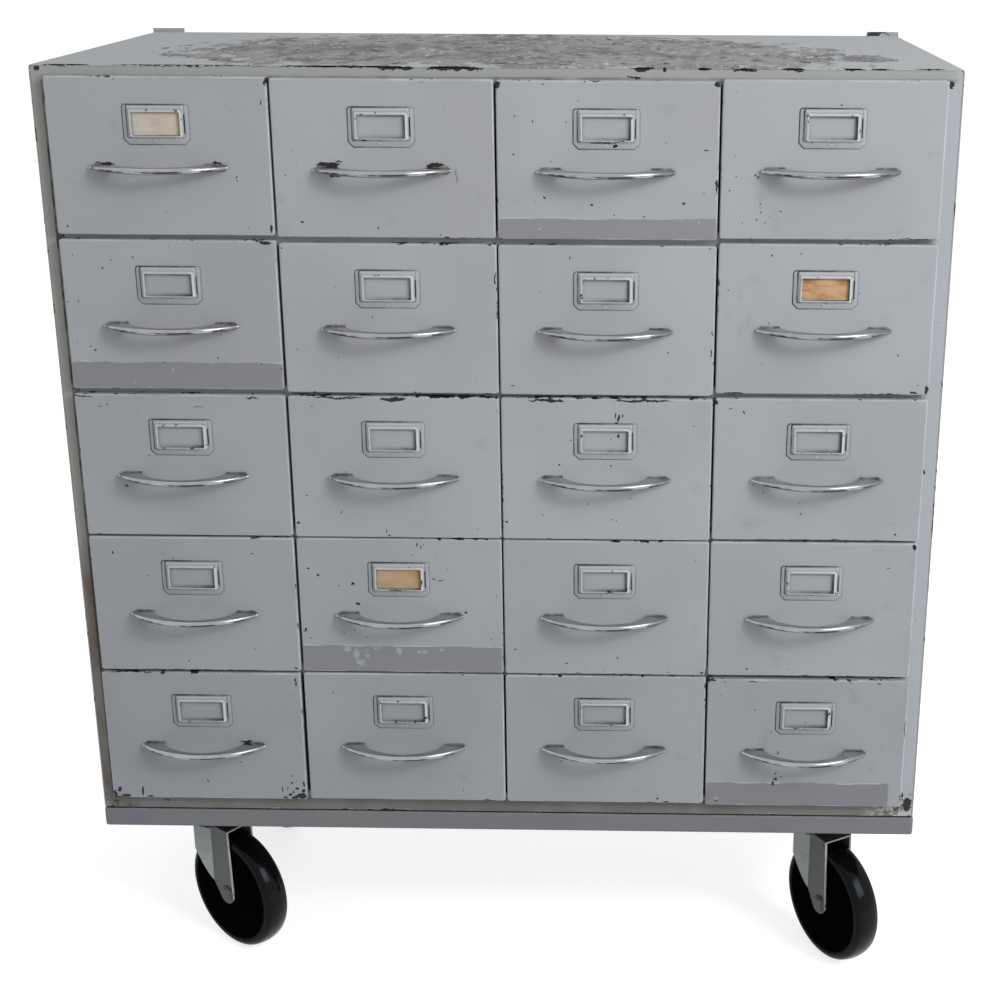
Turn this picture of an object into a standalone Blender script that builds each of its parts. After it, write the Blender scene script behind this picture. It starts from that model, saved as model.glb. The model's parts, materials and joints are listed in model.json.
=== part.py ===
"""Card-index cabinet: a folded steel carcass with twenty drawers on a castered base board."""

import math

import bmesh
import bpy
from mathutils import Matrix, Vector

# Overall sizes, all in metres
CABINET_WIDTH = 0.950
CARCASS_DEPTH = 0.475
CARCASS_HEIGHT = 0.853
BASE_THICKNESS = 0.0243
BASE_OVERHANG = 0.0015
BASE_EDGE_RADIUS = 0.003
CASTER_HEIGHT = 0.195

# Sheet metal and gaps
CARCASS_SHEET = 0.0012
DRAWER_SHEET = 0.0010
SEAT_GAP = 0.0003
SHADOW_GAP = 0.0015
CARCASS_BEND = 0.0025
TRAY_FLANGE = 0.020
LUG_WIDTH = 0.040
LUG_HEIGHT = 0.005

# Grid of drawer fronts, seen from the front
COLUMNS = 4
ROWS = 5
STILE_WIDTH = 0.0165
TOP_RAIL = 0.0108
BOTTOM_RAIL = 0.0196
FRONT_GAP_X = 0.00225
FRONT_GAP_Z = 0.0039
ROW_DROPS = (0.0003, 0.0018, 0.0024, 0.0005, -0.0006)

# Front frame behind the fronts
FRAME_DEPTH = 0.016
CROSS_RAIL = 0.016
STILE_OVERLAP = 0.0008

# Drawers
FRONT_PROUD = 0.011
FRONT_CLEARANCE = 0.0005
FRONT_EDGE_RADIUS = 0.0018
DRAWER_INSET = 0.00775
DRAWER_CLEARANCE_Z = 0.003
DRAWER_BACK_CLEARANCE = 0.025
RIM_FLANGE = 0.006

# Runner channels that carry the drawers' rim flanges
RUNNER_LIP = 0.0012
RUNNER_PLAY_ABOVE = 0.0007
RUNNER_TO_DRAWER = 0.0018
RUNNER_BACK_STOP = 0.020

# Label holder on each front; it and the handle sit a little left of the middle
FITTING_SHIFT = -0.0013
HOLDER_WIDTH = 0.068
HOLDER_HEIGHT = 0.0402
HOLDER_CORNER = 0.0054
HOLDER_PLATE = 0.0010
HOLDER_FROM_TOP = 0.0279
HOLDER_FRAME_WIDTH = 0.058
HOLDER_FRAME_HEIGHT = 0.0322
HOLDER_FRAME_RAISE = 0.0020
HOLDER_FRAME_INSET = 0.0007
HOLDER_LIP_WIDTH = 0.0022
HOLDER_LIP_RAISE = 0.0010
WINDOW_WIDTH = 0.0492
WINDOW_HEIGHT = 0.0233
WINDOW_SILL = 0.0019

# Bow handle
HANDLE_LENGTH = 0.142
HANDLE_PROJECTION = 0.035
HANDLE_BAR = 0.010
HANDLE_HEIGHT = 0.0070
HANDLE_TIP_HEIGHT = 0.0045
HANDLE_TIP_DEPTH = 0.004
HANDLE_FOOT_LENGTH = 0.022
HANDLE_FOOT_SETBACK = 0.003
HANDLE_EDGE = 0.0022
HANDLE_FROM_TOP = 0.0912
GRIP_POWER = 2.4
GRIP_STEPS = 6
BOW_STEPS = 8

# Casters
AXIS_FROM_SIDE = 0.103
AXIS_FROM_FACE = 0.090
CASTER_TRAIL = 0.042
WHEEL_RADIUS = 0.075
WHEEL_WIDTH = 0.032
WHEEL_SEGMENTS = 24
WHEEL_SHOULDER = 0.006
HUB_RADIUS = 0.020
HUB_PROUD = 0.0005
WEB_RECESS = 0.0015
WEB_RADIUS = 0.050
AXLE_RADIUS = 0.006
AXLE_HEAD_RADIUS = 0.009
AXLE_HEAD = 0.005
AXLE_PLAY = 0.0004
FORK_SHEET = 0.0025
FORK_SIDE_PLAY = 0.0005
FORK_TOP_CLEARANCE = 0.009
LEG_WIDTH = 0.034
LEG_LEAN = 0.0037
LEG_END_RADIUS = 0.0122
LEG_END_SETBACK = 0.0025
LEG_END_DROP = 0.0035
LEG_TAPER_HEIGHT = 0.0078
WING_WIDTH = 0.024
WING_RISE = 0.043
WING_CURVE = 1.4
WING_FLARE = math.radians(25)
CROWN_RADIUS = 0.032
HEAD_RADIUS = 0.027
HEAD_HEIGHT = 0.010
KINGPIN_RADIUS = 0.007
KINGPIN_HEAD_RADIUS = 0.012
KINGPIN_HEAD = 0.005
RACE_RADIUS = 0.031
RACE_FLARE = 0.003
PLATE_LENGTH = 0.105
PLATE_WIDTH = 0.085
PLATE_THICKNESS = 0.004
PLATE_CORNER = 0.010
ROUND_SEGMENTS = 12
ARC_STEPS = 4

# Each caster's place and the turn of its fork as it stands, in degrees from straight right
CASTERS = {
    "front_left": (-1, -1, 38.0),
    "front_right": (1, -1, 59.0),
    "rear_left": (-1, 1, 52.0),
    "rear_right": (1, 1, 46.0),
}

# Worked-out levels and grid
TOTAL_DEPTH = HANDLE_PROJECTION + FRONT_PROUD + CARCASS_DEPTH
FACE_Y = -TOTAL_DEPTH / 2 + HANDLE_PROJECTION + FRONT_PROUD
BACK_Y = FACE_Y + CARCASS_DEPTH
SHELL_BACK_Y = BACK_Y - CARCASS_SHEET - SEAT_GAP
FRAME_BACK_Y = FACE_Y + FRAME_DEPTH
BASE_BOTTOM_Z = CASTER_HEIGHT
CARCASS_BOTTOM_Z = BASE_BOTTOM_Z + BASE_THICKNESS
CARCASS_TOP_Z = CARCASS_BOTTOM_Z + CARCASS_HEIGHT
SHELL_BOTTOM_Z = CARCASS_BOTTOM_Z + SHADOW_GAP
INNER_HALF_WIDTH = CABINET_WIDTH / 2 - CARCASS_SHEET
FRONT_WIDTH = (CABINET_WIDTH - 2 * STILE_WIDTH - (COLUMNS - 1) * FRONT_GAP_X) / COLUMNS
FRONT_HEIGHT = (CARCASS_HEIGHT - TOP_RAIL - BOTTOM_RAIL - (ROWS - 1) * FRONT_GAP_Z) / ROWS
PITCH_X = FRONT_WIDTH + FRONT_GAP_X
PITCH_Z = FRONT_HEIGHT + FRONT_GAP_Z
RAIL_OVERLAP = (CROSS_RAIL - FRONT_GAP_Z) / 2
BODY_HALF_WIDTH = FRONT_WIDTH / 2 - DRAWER_INSET
BODY_BOTTOM = -FRONT_HEIGHT / 2 + RAIL_OVERLAP + DRAWER_CLEARANCE_Z
BODY_TOP = -BODY_BOTTOM
BODY_DEPTH = FRONT_PROUD + CARCASS_DEPTH - DRAWER_BACK_CLEARANCE
CROWN_BOTTOM = 2 * WHEEL_RADIUS + FORK_TOP_CLEARANCE
CROWN_TOP = CROWN_BOTTOM + FORK_SHEET
HEAD_TOP = CROWN_TOP + HEAD_HEIGHT
PLATE_TOP = CASTER_HEIGHT - SEAT_GAP
PLATE_BOTTOM = PLATE_TOP - PLATE_THICKNESS
LEG_INNER = WHEEL_WIDTH / 2 + HUB_PROUD + FORK_SIDE_PLAY
LEG_OUTER = LEG_INNER + FORK_SHEET
LEG_TRAILING = CASTER_TRAIL - LEG_END_SETBACK + LEG_END_RADIUS


def column_x(column):
    """Middle of a drawer column, counted from the left."""
    return (column - (COLUMNS - 1) / 2) * PITCH_X


def row_z(row):
    """Middle of a drawer row, counted from the top; the rows hang a little unevenly."""
    return CARCASS_TOP_Z - TOP_RAIL - FRONT_HEIGHT / 2 - row * PITCH_Z - ROW_DROPS[row]


def clear_scene():
    """Start from an empty scene."""
    for thing in list(bpy.data.objects):
        bpy.data.objects.remove(thing, do_unlink=True)


def make_material(name, colour, roughness, metallic):
    """A plain surface with the part's colour and gloss."""
    material = bpy.data.materials.new(name)
    material.use_nodes = True
    shader = material.node_tree.nodes["Principled BSDF"]
    shader.inputs["Base Color"].default_value = (*colour, 1.0)
    shader.inputs["Roughness"].default_value = roughness
    shader.inputs["Metallic"].default_value = metallic
    return material


def mesh_from(bm, name="solid"):
    """Turn a bmesh into a closed mesh that faces out."""
    bmesh.ops.recalc_face_normals(bm, faces=bm.faces[:])
    mesh = bpy.data.meshes.new(name)
    bm.to_mesh(mesh)
    bm.free()
    return mesh


def box(low, high):
    """A block between two corners."""
    bm = bmesh.new()
    bmesh.ops.create_cube(bm, size=1.0)
    low, high = Vector(low), Vector(high)
    middle, size = (low + high) / 2, high - low
    bmesh.ops.transform(bm, matrix=Matrix.Translation(middle) @ Matrix.Diagonal((*size, 1.0)),
                        verts=bm.verts[:])
    return mesh_from(bm)


def prism(outline, axis, start, end):
    """An outline pushed along an axis; its two numbers are the other axes in X, Y, Z order."""
    place = {
        "X": lambda a, b, along: (along, a, b),
        "Y": lambda a, b, along: (a, along, b),
        "Z": lambda a, b, along: (a, b, along),
    }[axis]
    bm = bmesh.new()
    face = bm.faces.new([bm.verts.new(place(a, b, start)) for a, b in outline])
    pushed = bmesh.ops.extrude_face_region(bm, geom=[face])
    moved = [item for item in pushed["geom"] if isinstance(item, bmesh.types.BMVert)]
    bmesh.ops.translate(bm, verts=moved, vec=Vector(place(0.0, 0.0, end - start)))
    return mesh_from(bm)


def lathe(profile, segments, flat_down=False):
    """A closed profile of (radius, height) points turned once around Z."""
    turn = 2 * math.pi / segments
    bm = bmesh.new()
    points = [bm.verts.new((radius, 0.0, height)) for radius, height in profile]
    edges = [bm.edges.new((a, b)) for a, b in zip(points, points[1:] + points[:1])
             if a.co.x > 0 or b.co.x > 0]
    bmesh.ops.spin(bm, geom=points + edges, cent=(0, 0, 0), axis=(0, 0, 1), angle=2 * math.pi,
                   steps=segments, use_merge=True)
    bmesh.ops.remove_doubles(bm, verts=bm.verts[:], dist=1e-6)
    if flat_down:
        bmesh.ops.rotate(bm, verts=bm.verts[:], matrix=Matrix.Rotation(turn / 2, 3, "Z"))
    return mesh_from(bm)


def moved(mesh, matrix):
    """Place a mesh."""
    mesh.transform(matrix)
    return mesh


def combine(first, *steps):
    """Join or cut a mesh with others, each step being an operation and a mesh."""
    collection = bpy.context.scene.collection
    body = bpy.data.objects.new("body", first)
    tools = []
    collection.objects.link(body)
    for operation, mesh in steps:
        tool = bpy.data.objects.new("tool", mesh)
        collection.objects.link(tool)
        tools.append(tool)
        modifier = body.modifiers.new("step", "BOOLEAN")
        modifier.operation = operation
        modifier.solver = "EXACT"
        modifier.object = tool
    graph = bpy.context.evaluated_depsgraph_get()
    graph.update()
    result = bpy.data.meshes.new_from_object(body.evaluated_get(graph))
    for thing in [body, *tools]:
        bpy.data.objects.remove(thing, do_unlink=True)
    return result


def rounded_path(points, radius, segments):
    """Replace each inner corner of an open path with an arc."""
    path = [Vector(points[0])]
    for before, corner, after in zip(points, points[1:], points[2:]):
        corner = Vector(corner)
        back = (Vector(before) - corner).normalized()
        ahead = (Vector(after) - corner).normalized()
        half = back.angle(ahead) / 2
        centre = corner + (back + ahead).normalized() * radius / math.sin(half)
        start = corner + back * radius / math.tan(half) - centre
        end = corner + ahead * radius / math.tan(half) - centre
        turn = -start.angle_signed(end)
        path += [centre + Matrix.Rotation(turn * step / segments, 2) @ start
                 for step in range(segments + 1)]
    return path + [Vector(points[-1])]


def sheet_outline(path, thickness):
    """Close an open path into a strip of sheet that lies on the right of the path."""
    path = [Vector(point) for point in path]
    rights = [Vector((b.y - a.y, a.x - b.x)).normalized() for a, b in zip(path, path[1:])]
    far = [path[0] + rights[0] * thickness]
    far += [point + (r + s) * thickness / (1 + r.dot(s))
            for point, r, s in zip(path[1:], rights, rights[1:])]
    far.append(path[-1] + rights[-1] * thickness)
    return [tuple(point) for point in path + far[::-1]]


def arc(centre, radius, start, end, steps):
    """Points along an arc, with its angles in degrees."""
    angles = [math.radians(start + (end - start) * step / steps) for step in range(steps + 1)]
    return [(centre[0] + radius * math.cos(a), centre[1] + radius * math.sin(a)) for a in angles]


def rounded_rectangle(width, height, radius, steps):
    """A rectangle about the origin with round corners."""
    outline = []
    for sx, sy, start in ((1, 1, 0), (-1, 1, 90), (-1, -1, 180), (1, -1, 270)):
        centre = (sx * (width / 2 - radius), sy * (height / 2 - radius))
        outline += arc(centre, radius, start, start + 90, steps)
    return outline


def add_node(name, mesh, material, parent, location=(0, 0, 0), turn=0.0):
    """Put a finished solid in the scene under its own name."""
    node = bpy.data.objects.new(name, mesh)
    bpy.context.scene.collection.objects.link(node)
    node.parent = parent
    node.location = location
    node.rotation_euler = (0.0, 0.0, turn)
    mesh.materials.clear()
    mesh.materials.append(material)
    mesh.shade_smooth()
    mesh.set_sharp_from_angle(angle=math.radians(30))
    return node


def add_empty(name, parent, location, turn=0.0):
    """A joint's place, with no solid of its own."""
    empty = bpy.data.objects.new(name, None)
    bpy.context.scene.collection.objects.link(empty)
    empty.parent = parent
    empty.location = location
    empty.rotation_euler = (0.0, 0.0, turn)
    return empty


def runner(face_x, side, centre_x):
    """Runner channels of one drawer column: side is where the drawers lie from the sheet's face."""
    lip_end = centre_x - side * (BODY_HALF_WIDTH + RUNNER_TO_DRAWER)
    web = face_x + side * CARCASS_SHEET
    root = face_x - side * CARCASS_SHEET / 2
    channels = []
    for row in range(ROWS):
        rim = row_z(row) + BODY_TOP
        low = rim - DRAWER_SHEET - SEAT_GAP
        high = rim + RUNNER_PLAY_ABOVE
        outline = [(root, low - RUNNER_LIP), (lip_end, low - RUNNER_LIP), (lip_end, low), (web, low),
                   (web, high), (lip_end, high), (lip_end, high + RUNNER_LIP), (root, high + RUNNER_LIP)]
        channels.append(("UNION", prism(outline, "Y", FRAME_BACK_Y + SEAT_GAP,
                                        SHELL_BACK_Y - RUNNER_BACK_STOP)))
    return channels


def make_wrapper():
    """Both sides and the top, folded from one sheet, with the outer runners."""
    half = CABINET_WIDTH / 2
    corners = [(-half, SHELL_BOTTOM_Z), (-half, CARCASS_TOP_Z), (half, CARCASS_TOP_Z),
               (half, SHELL_BOTTOM_Z)]
    outline = sheet_outline(rounded_path(corners, CARCASS_BEND, ARC_STEPS), CARCASS_SHEET)
    return combine(prism(outline, "Y", FACE_Y, SHELL_BACK_Y),
                   *runner(-INNER_HALF_WIDTH, 1, column_x(0)),
                   *runner(INNER_HALF_WIDTH, -1, column_x(COLUMNS - 1)))


def make_front_frame():
    """Stiles, top and bottom rails and cross rails, as one pressed frame that is open behind."""
    half = INNER_HALF_WIDTH - SEAT_GAP
    top = CARCASS_TOP_Z - CARCASS_SHEET - SEAT_GAP
    window_half = CABINET_WIDTH / 2 - STILE_WIDTH - STILE_OVERLAP
    windows = [(row_z(row) - FRONT_HEIGHT / 2 + RAIL_OVERLAP, row_z(row) + FRONT_HEIGHT / 2 - RAIL_OVERLAP)
               for row in range(ROWS)]
    corners = [(-half, SHELL_BOTTOM_Z), (-half, top), (half, top), (half, SHELL_BOTTOM_Z)]
    solid = prism(rounded_path(corners, CARCASS_BEND, ARC_STEPS), "Y", FACE_Y, FRAME_BACK_Y)
    steps = [("DIFFERENCE", box((-window_half, FACE_Y - FRAME_DEPTH, low),
                                (window_half, FRAME_BACK_Y + FRAME_DEPTH, high)))
             for low, high in windows]
    near, far = FACE_Y + CARCASS_SHEET, FRAME_BACK_Y + FRAME_DEPTH
    inner_half, hollow_half = window_half + CARCASS_SHEET, half - CARCASS_SHEET
    bars_above = [top] + [low for low, high in windows]
    bars_below = [high for low, high in windows] + [SHELL_BOTTOM_Z]
    for above, below in zip(bars_above, bars_below):
        steps.append(("DIFFERENCE", box((-hollow_half, near, below + CARCASS_SHEET),
                                        (hollow_half, far, above - CARCASS_SHEET))))
    for side in (-1, 1):
        low_x, high_x = sorted((side * inner_half, side * hollow_half))
        steps.append(("DIFFERENCE", box((low_x, near, SHELL_BOTTOM_Z + CARCASS_SHEET),
                                        (high_x, far, top - CARCASS_SHEET))))
    return combine(solid, *steps)


def make_bottom_panel():
    """A floor tray with turned-up sides, which stands on the base board."""
    half = INNER_HALF_WIDTH - SEAT_GAP - CARCASS_SHEET
    low = CARCASS_BOTTOM_Z + CARCASS_SHEET
    corners = [(-half, low + TRAY_FLANGE), (-half, low), (half, low), (half, low + TRAY_FLANGE)]
    return prism(sheet_outline(corners, CARCASS_SHEET), "Y", FRAME_BACK_Y + SEAT_GAP,
                 SHELL_BACK_Y - SEAT_GAP)


def make_back_panel():
    """The rear sheet, with a low lug standing up at each top corner."""
    half = CABINET_WIDTH / 2
    lug_inner = half - LUG_WIDTH
    lug_top = CARCASS_TOP_Z + LUG_HEIGHT
    outline = [(-half, SHELL_BOTTOM_Z), (half, SHELL_BOTTOM_Z), (half, lug_top), (lug_inner, lug_top),
               (lug_inner, CARCASS_TOP_Z), (-lug_inner, CARCASS_TOP_Z), (-lug_inner, lug_top),
               (-half, lug_top)]
    return prism(outline, "Y", BACK_Y - CARCASS_SHEET, BACK_Y)


def make_partition(column):
    """The upright sheet on the right of a column, with runner channels on both faces."""
    middle = column_x(column) + PITCH_X / 2
    half = CARCASS_SHEET / 2
    sheet = box((middle - half, FRAME_BACK_Y + SEAT_GAP, CARCASS_BOTTOM_Z + CARCASS_SHEET + SEAT_GAP),
                (middle + half, SHELL_BACK_Y - SEAT_GAP, CARCASS_TOP_Z - CARCASS_SHEET - SEAT_GAP))
    return combine(sheet, *runner(middle - half, -1, column_x(column)),
                   *runner(middle + half, 1, column_x(column + 1)))


def make_base_board():
    """The thick board under the carcass, with softened edges."""
    bm = bmesh.new()
    half = CABINET_WIDTH / 2 + BASE_OVERHANG
    bm.from_mesh(box((-half, FACE_Y, BASE_BOTTOM_Z), (half, BACK_Y, CARCASS_BOTTOM_Z - SEAT_GAP)))
    bmesh.ops.bevel(bm, geom=bm.edges[:], offset=BASE_EDGE_RADIUS, segments=2, profile=0.5,
                    affect="EDGES")
    return mesh_from(bm)


def make_front_pan():
    """A drawer's pressed front, hollow behind, with its face at the local y of minus FRONT_PROUD."""
    half_width, half_height = FRONT_WIDTH / 2, FRONT_HEIGHT / 2
    bm = bmesh.new()
    bm.from_mesh(box((-half_width, -FRONT_PROUD, -half_height),
                     (half_width, -FRONT_CLEARANCE, half_height)))
    rear = -FRONT_CLEARANCE - FRONT_EDGE_RADIUS / 2
    edges = [edge for edge in bm.edges if min(vert.co.y for vert in edge.verts) < rear]
    bmesh.ops.bevel(bm, geom=edges, offset=FRONT_EDGE_RADIUS, segments=1, profile=0.5, affect="EDGES")
    hollow = box((-half_width + DRAWER_SHEET, -FRONT_PROUD + DRAWER_SHEET, -half_height + DRAWER_SHEET),
                 (half_width - DRAWER_SHEET, FRONT_PROUD, half_height - DRAWER_SHEET))
    return combine(mesh_from(bm), ("DIFFERENCE", hollow))


def make_drawer_body():
    """Floor, sides and rim flanges, folded from one sheet, with a back wall."""
    inner = BODY_HALF_WIDTH - DRAWER_SHEET
    rim = BODY_HALF_WIDTH + RIM_FLANGE
    corners = [(-rim, BODY_TOP), (-inner, BODY_TOP), (-inner, BODY_BOTTOM + DRAWER_SHEET),
               (inner, BODY_BOTTOM + DRAWER_SHEET), (inner, BODY_TOP), (rim, BODY_TOP)]
    front, back = -FRONT_PROUD + DRAWER_SHEET / 2, -FRONT_PROUD + BODY_DEPTH
    trough = prism(sheet_outline(corners, DRAWER_SHEET), "Y", front, back)
    middle = BODY_HALF_WIDTH - DRAWER_SHEET / 2
    wall = box((-middle, back - DRAWER_SHEET, BODY_BOTTOM + DRAWER_SHEET / 2), (middle, back, BODY_TOP))
    return trough, wall


def make_label_holder():
    """A plate with a raised frame and a lip round the card window, seated on the drawer's face."""
    top = FRONT_HEIGHT / 2 - HOLDER_FROM_TOP
    middle = top - HOLDER_HEIGHT / 2
    face = -FRONT_PROUD
    outline = [(x, z + middle) for x, z in
               rounded_rectangle(HOLDER_WIDTH, HOLDER_HEIGHT, HOLDER_CORNER, 1)]
    plate = prism(outline, "Y", face - HOLDER_PLATE, face + DRAWER_SHEET / 2)
    frame_top = top - HOLDER_FRAME_INSET
    sill = frame_top - HOLDER_FRAME_HEIGHT
    half, window_half = HOLDER_FRAME_WIDTH / 2, WINDOW_WIDTH / 2
    proud = face - HOLDER_PLATE - HOLDER_FRAME_RAISE
    frame = box((-half, proud, sill), (half, face - HOLDER_PLATE / 2, frame_top))
    low, high = sill + WINDOW_SILL, sill + WINDOW_SILL + WINDOW_HEIGHT
    lip_half, lip_sill = window_half + HOLDER_LIP_WIDTH, low - min(HOLDER_LIP_WIDTH, WINDOW_SILL / 2)
    lip = box((-lip_half, proud - HOLDER_LIP_RAISE, lip_sill),
              (lip_half, proud + HOLDER_FRAME_RAISE / 2, high + HOLDER_LIP_WIDTH))
    window = box((-window_half, proud - HOLDER_LIP_RAISE - HOLDER_PLATE, low), (window_half, face, high))
    raised = combine(frame, ("UNION", lip), ("DIFFERENCE", window))
    return moved(combine(raised, ("UNION", plate)), Matrix.Translation((FITTING_SHIFT, 0.0, 0.0)))


def make_drawer():
    """One drawer about the middle of its front, with y = 0 at the carcass face."""
    trough, wall = make_drawer_body()
    return combine(make_front_pan(), ("UNION", trough), ("UNION", wall), ("UNION", make_label_holder()))


def handle_outline():
    """The handle seen from above: a bow whose ends thicken into feet on the drawer's face."""
    half = HANDLE_LENGTH / 2
    rise = HANDLE_PROJECTION - HANDLE_TIP_DEPTH
    radius = (half ** 2 + rise ** 2) / (2 * rise)
    centre = (0.0, -HANDLE_PROJECTION + radius)
    sweep = math.degrees(math.asin(half / radius))
    bow = arc(centre, radius, -90 - sweep, -90 + sweep, BOW_STEPS)
    foot_outer = half - HANDLE_FOOT_SETBACK
    foot_inner = foot_outer - HANDLE_FOOT_LENGTH
    depth = HANDLE_PROJECTION - HANDLE_BAR
    grip = []
    for step in range(GRIP_STEPS + 1):
        angle = math.pi * step / GRIP_STEPS
        across, out = math.cos(angle), math.sin(angle)
        grip.append((foot_inner * math.copysign(abs(across) ** (2 / GRIP_POWER), across),
                     -depth * out ** (2 / GRIP_POWER)))
    return bow + [(foot_outer, -SEAT_GAP)] + [(x, y - SEAT_GAP) for x, y in grip] + [(-foot_outer, -SEAT_GAP)]


def make_handle():
    """A cast bow handle with softened edges, thinner towards its tips, seated at y = 0."""
    bm = bmesh.new()
    bm.from_mesh(prism(handle_outline(), "Z", -HANDLE_HEIGHT / 2, HANDLE_HEIGHT / 2))
    seat = -SEAT_GAP * 1.5
    edges = [edge for edge in bm.edges
             if abs(edge.verts[0].co.z - edge.verts[1].co.z) < SEAT_GAP
             and min(vert.co.y for vert in edge.verts) < seat]
    bmesh.ops.bevel(bm, geom=edges, offset=HANDLE_EDGE, segments=1, profile=0.5, affect="EDGES")
    slim = 1 - HANDLE_TIP_HEIGHT / HANDLE_HEIGHT
    for vert in bm.verts:
        vert.co.z *= 1 - slim * (2 * abs(vert.co.x) / HANDLE_LENGTH) ** 3
    return mesh_from(bm)


def make_wheel():
    """A solid wheel turned about its axle, along local Z, with a crowned tread and a raised hub."""
    half = WHEEL_WIDTH / 2
    flat = 1 / math.cos(math.pi / WHEEL_SEGMENTS)
    tread = WHEEL_RADIUS * flat
    crown = half - WHEEL_SHOULDER
    upper = [(AXLE_RADIUS + AXLE_PLAY, half + HUB_PROUD), (HUB_RADIUS, half + HUB_PROUD),
             (HUB_RADIUS + HUB_PROUD, half - WEB_RECESS), (WEB_RADIUS, half - WEB_RECESS),
             (tread - WHEEL_SHOULDER, half), (tread - WHEEL_SHOULDER * (1 - math.sin(math.pi / 4)),
                                              crown + WHEEL_SHOULDER * math.sin(math.pi / 4)),
             (tread, crown)]
    return lathe(upper + [(radius, -height) for radius, height in upper[::-1]], WHEEL_SEGMENTS, True)


def make_leg(side):
    """One flat fork leg with a round end below the axle, and its flared leading wing."""
    end = Vector((CASTER_TRAIL - LEG_END_SETBACK, WHEEL_RADIUS - LEG_END_DROP))
    fold = LEG_TRAILING - LEG_WIDTH
    taper = WHEEL_RADIUS + LEG_TAPER_HEIGHT
    reach = Vector((fold, taper)) - end
    sweep = 360 - math.degrees(math.atan2(reach.y, reach.x) + math.acos(min(1.0, LEG_END_RADIUS / reach.length)))
    outline = arc(end, LEG_END_RADIUS, 0, -sweep, 2 * ARC_STEPS)
    outline += [(fold, taper), (fold, CROWN_TOP), (LEG_TRAILING - LEG_LEAN, CROWN_TOP)]
    low, high = sorted((side * LEG_INNER, side * LEG_OUTER))
    leg = prism(outline, "Y", low, high)
    wing_height = CROWN_TOP - taper
    shares = [step / ARC_STEPS for step in range(ARC_STEPS + 1)]
    wing_outline = [(-WING_WIDTH * share, WING_RISE * share ** WING_CURVE) for share in shares]
    wing_outline += [(-WING_WIDTH, wing_height), (FORK_SHEET / 2, wing_height), (FORK_SHEET / 2, 0.0)]
    wing = prism(wing_outline, "Y", low - side * LEG_INNER, high - side * LEG_INNER)
    flare = Matrix.Translation((fold, side * LEG_INNER, taper)) @ Matrix.Rotation(-side * WING_FLARE, 4, "Z")
    return leg, moved(wing, flare)


def make_fork():
    """Crown, swivel head, two legs and the axle bolt, about the swivel axis with local Z up."""
    trailing = LEG_TRAILING - LEG_LEAN
    side = math.degrees(math.asin(min(1.0, LEG_OUTER / CROWN_RADIUS)))
    crown = arc((0.0, 0.0), CROWN_RADIUS, side, 360 - side, 3 * ARC_STEPS)
    crown += [(trailing, -LEG_OUTER), (trailing, LEG_OUTER)]
    bore = KINGPIN_RADIUS + SEAT_GAP
    head = lathe([(bore, CROWN_BOTTOM + FORK_SHEET / 2), (HEAD_RADIUS, CROWN_BOTTOM + FORK_SHEET / 2),
                  (HEAD_RADIUS, HEAD_TOP), (bore, HEAD_TOP)], ROUND_SEGMENTS)
    hole = lathe([(0.0, CROWN_BOTTOM - FORK_SHEET), (bore, CROWN_BOTTOM - FORK_SHEET),
                  (bore, HEAD_TOP + FORK_SHEET), (0.0, HEAD_TOP + FORK_SHEET)], ROUND_SEGMENTS)
    end = LEG_OUTER + AXLE_HEAD
    axle = lathe([(0.0, end), (AXLE_HEAD_RADIUS, end), (AXLE_HEAD_RADIUS, LEG_OUTER - FORK_SHEET / 2),
                  (AXLE_RADIUS, LEG_OUTER - FORK_SHEET / 2), (AXLE_RADIUS, FORK_SHEET / 2 - LEG_OUTER),
                  (AXLE_HEAD_RADIUS, FORK_SHEET / 2 - LEG_OUTER), (AXLE_HEAD_RADIUS, -end), (0.0, -end)],
                 ROUND_SEGMENTS)
    lay = Matrix.Translation((CASTER_TRAIL, 0.0, WHEEL_RADIUS)) @ Matrix.Rotation(math.pi / 2, 4, "X")
    pieces = [*make_leg(1), *make_leg(-1), head, moved(axle, lay)]
    solid = prism(crown, "Z", CROWN_BOTTOM, CROWN_TOP)
    return combine(solid, *(("UNION", piece) for piece in pieces), ("DIFFERENCE", hole))


def make_caster_plate():
    """The fixing plate with its upper race and the kingpin that the fork hangs on."""
    underside = CROWN_BOTTOM - SEAT_GAP
    race_low = HEAD_TOP + SEAT_GAP
    profile = [(0.0, underside - KINGPIN_HEAD), (KINGPIN_HEAD_RADIUS, underside - KINGPIN_HEAD),
               (KINGPIN_HEAD_RADIUS, underside), (KINGPIN_RADIUS, underside), (KINGPIN_RADIUS, race_low),
               (RACE_RADIUS, race_low), (RACE_RADIUS + RACE_FLARE, PLATE_BOTTOM + PLATE_THICKNESS / 2),
               (0.0, PLATE_BOTTOM + PLATE_THICKNESS / 2)]
    outline = rounded_rectangle(PLATE_LENGTH, PLATE_WIDTH, PLATE_CORNER, 2)
    return combine(prism(outline, "Z", PLATE_BOTTOM, PLATE_TOP), ("UNION", lathe(profile, ROUND_SEGMENTS)))


def build_casters(root, steel, tyre):
    """Four casters, each a plate, a fork on the kingpin and a wheel on the fork's axle."""
    plate, fork, wheel = make_caster_plate(), make_fork(), make_wheel()
    for name, (side, end, heading) in CASTERS.items():
        across = side * (CABINET_WIDTH / 2 - AXIS_FROM_SIDE)
        along = FACE_Y + AXIS_FROM_FACE if end < 0 else BACK_Y - AXIS_FROM_FACE
        add_node("caster_plate_" + name, plate.copy(), steel, root, (across, along, 0.0))
        swivel = add_empty("swivel_" + name, root, (across, along, 0.0), math.radians(-heading))
        add_node("caster_fork_" + name, fork.copy(), steel, swivel)
        hub = add_node("caster_wheel_" + name, wheel.copy(), tyre, swivel, (CASTER_TRAIL, 0.0, WHEEL_RADIUS))
        hub.rotation_euler = (math.pi / 2, 0.0, 0.0)


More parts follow.
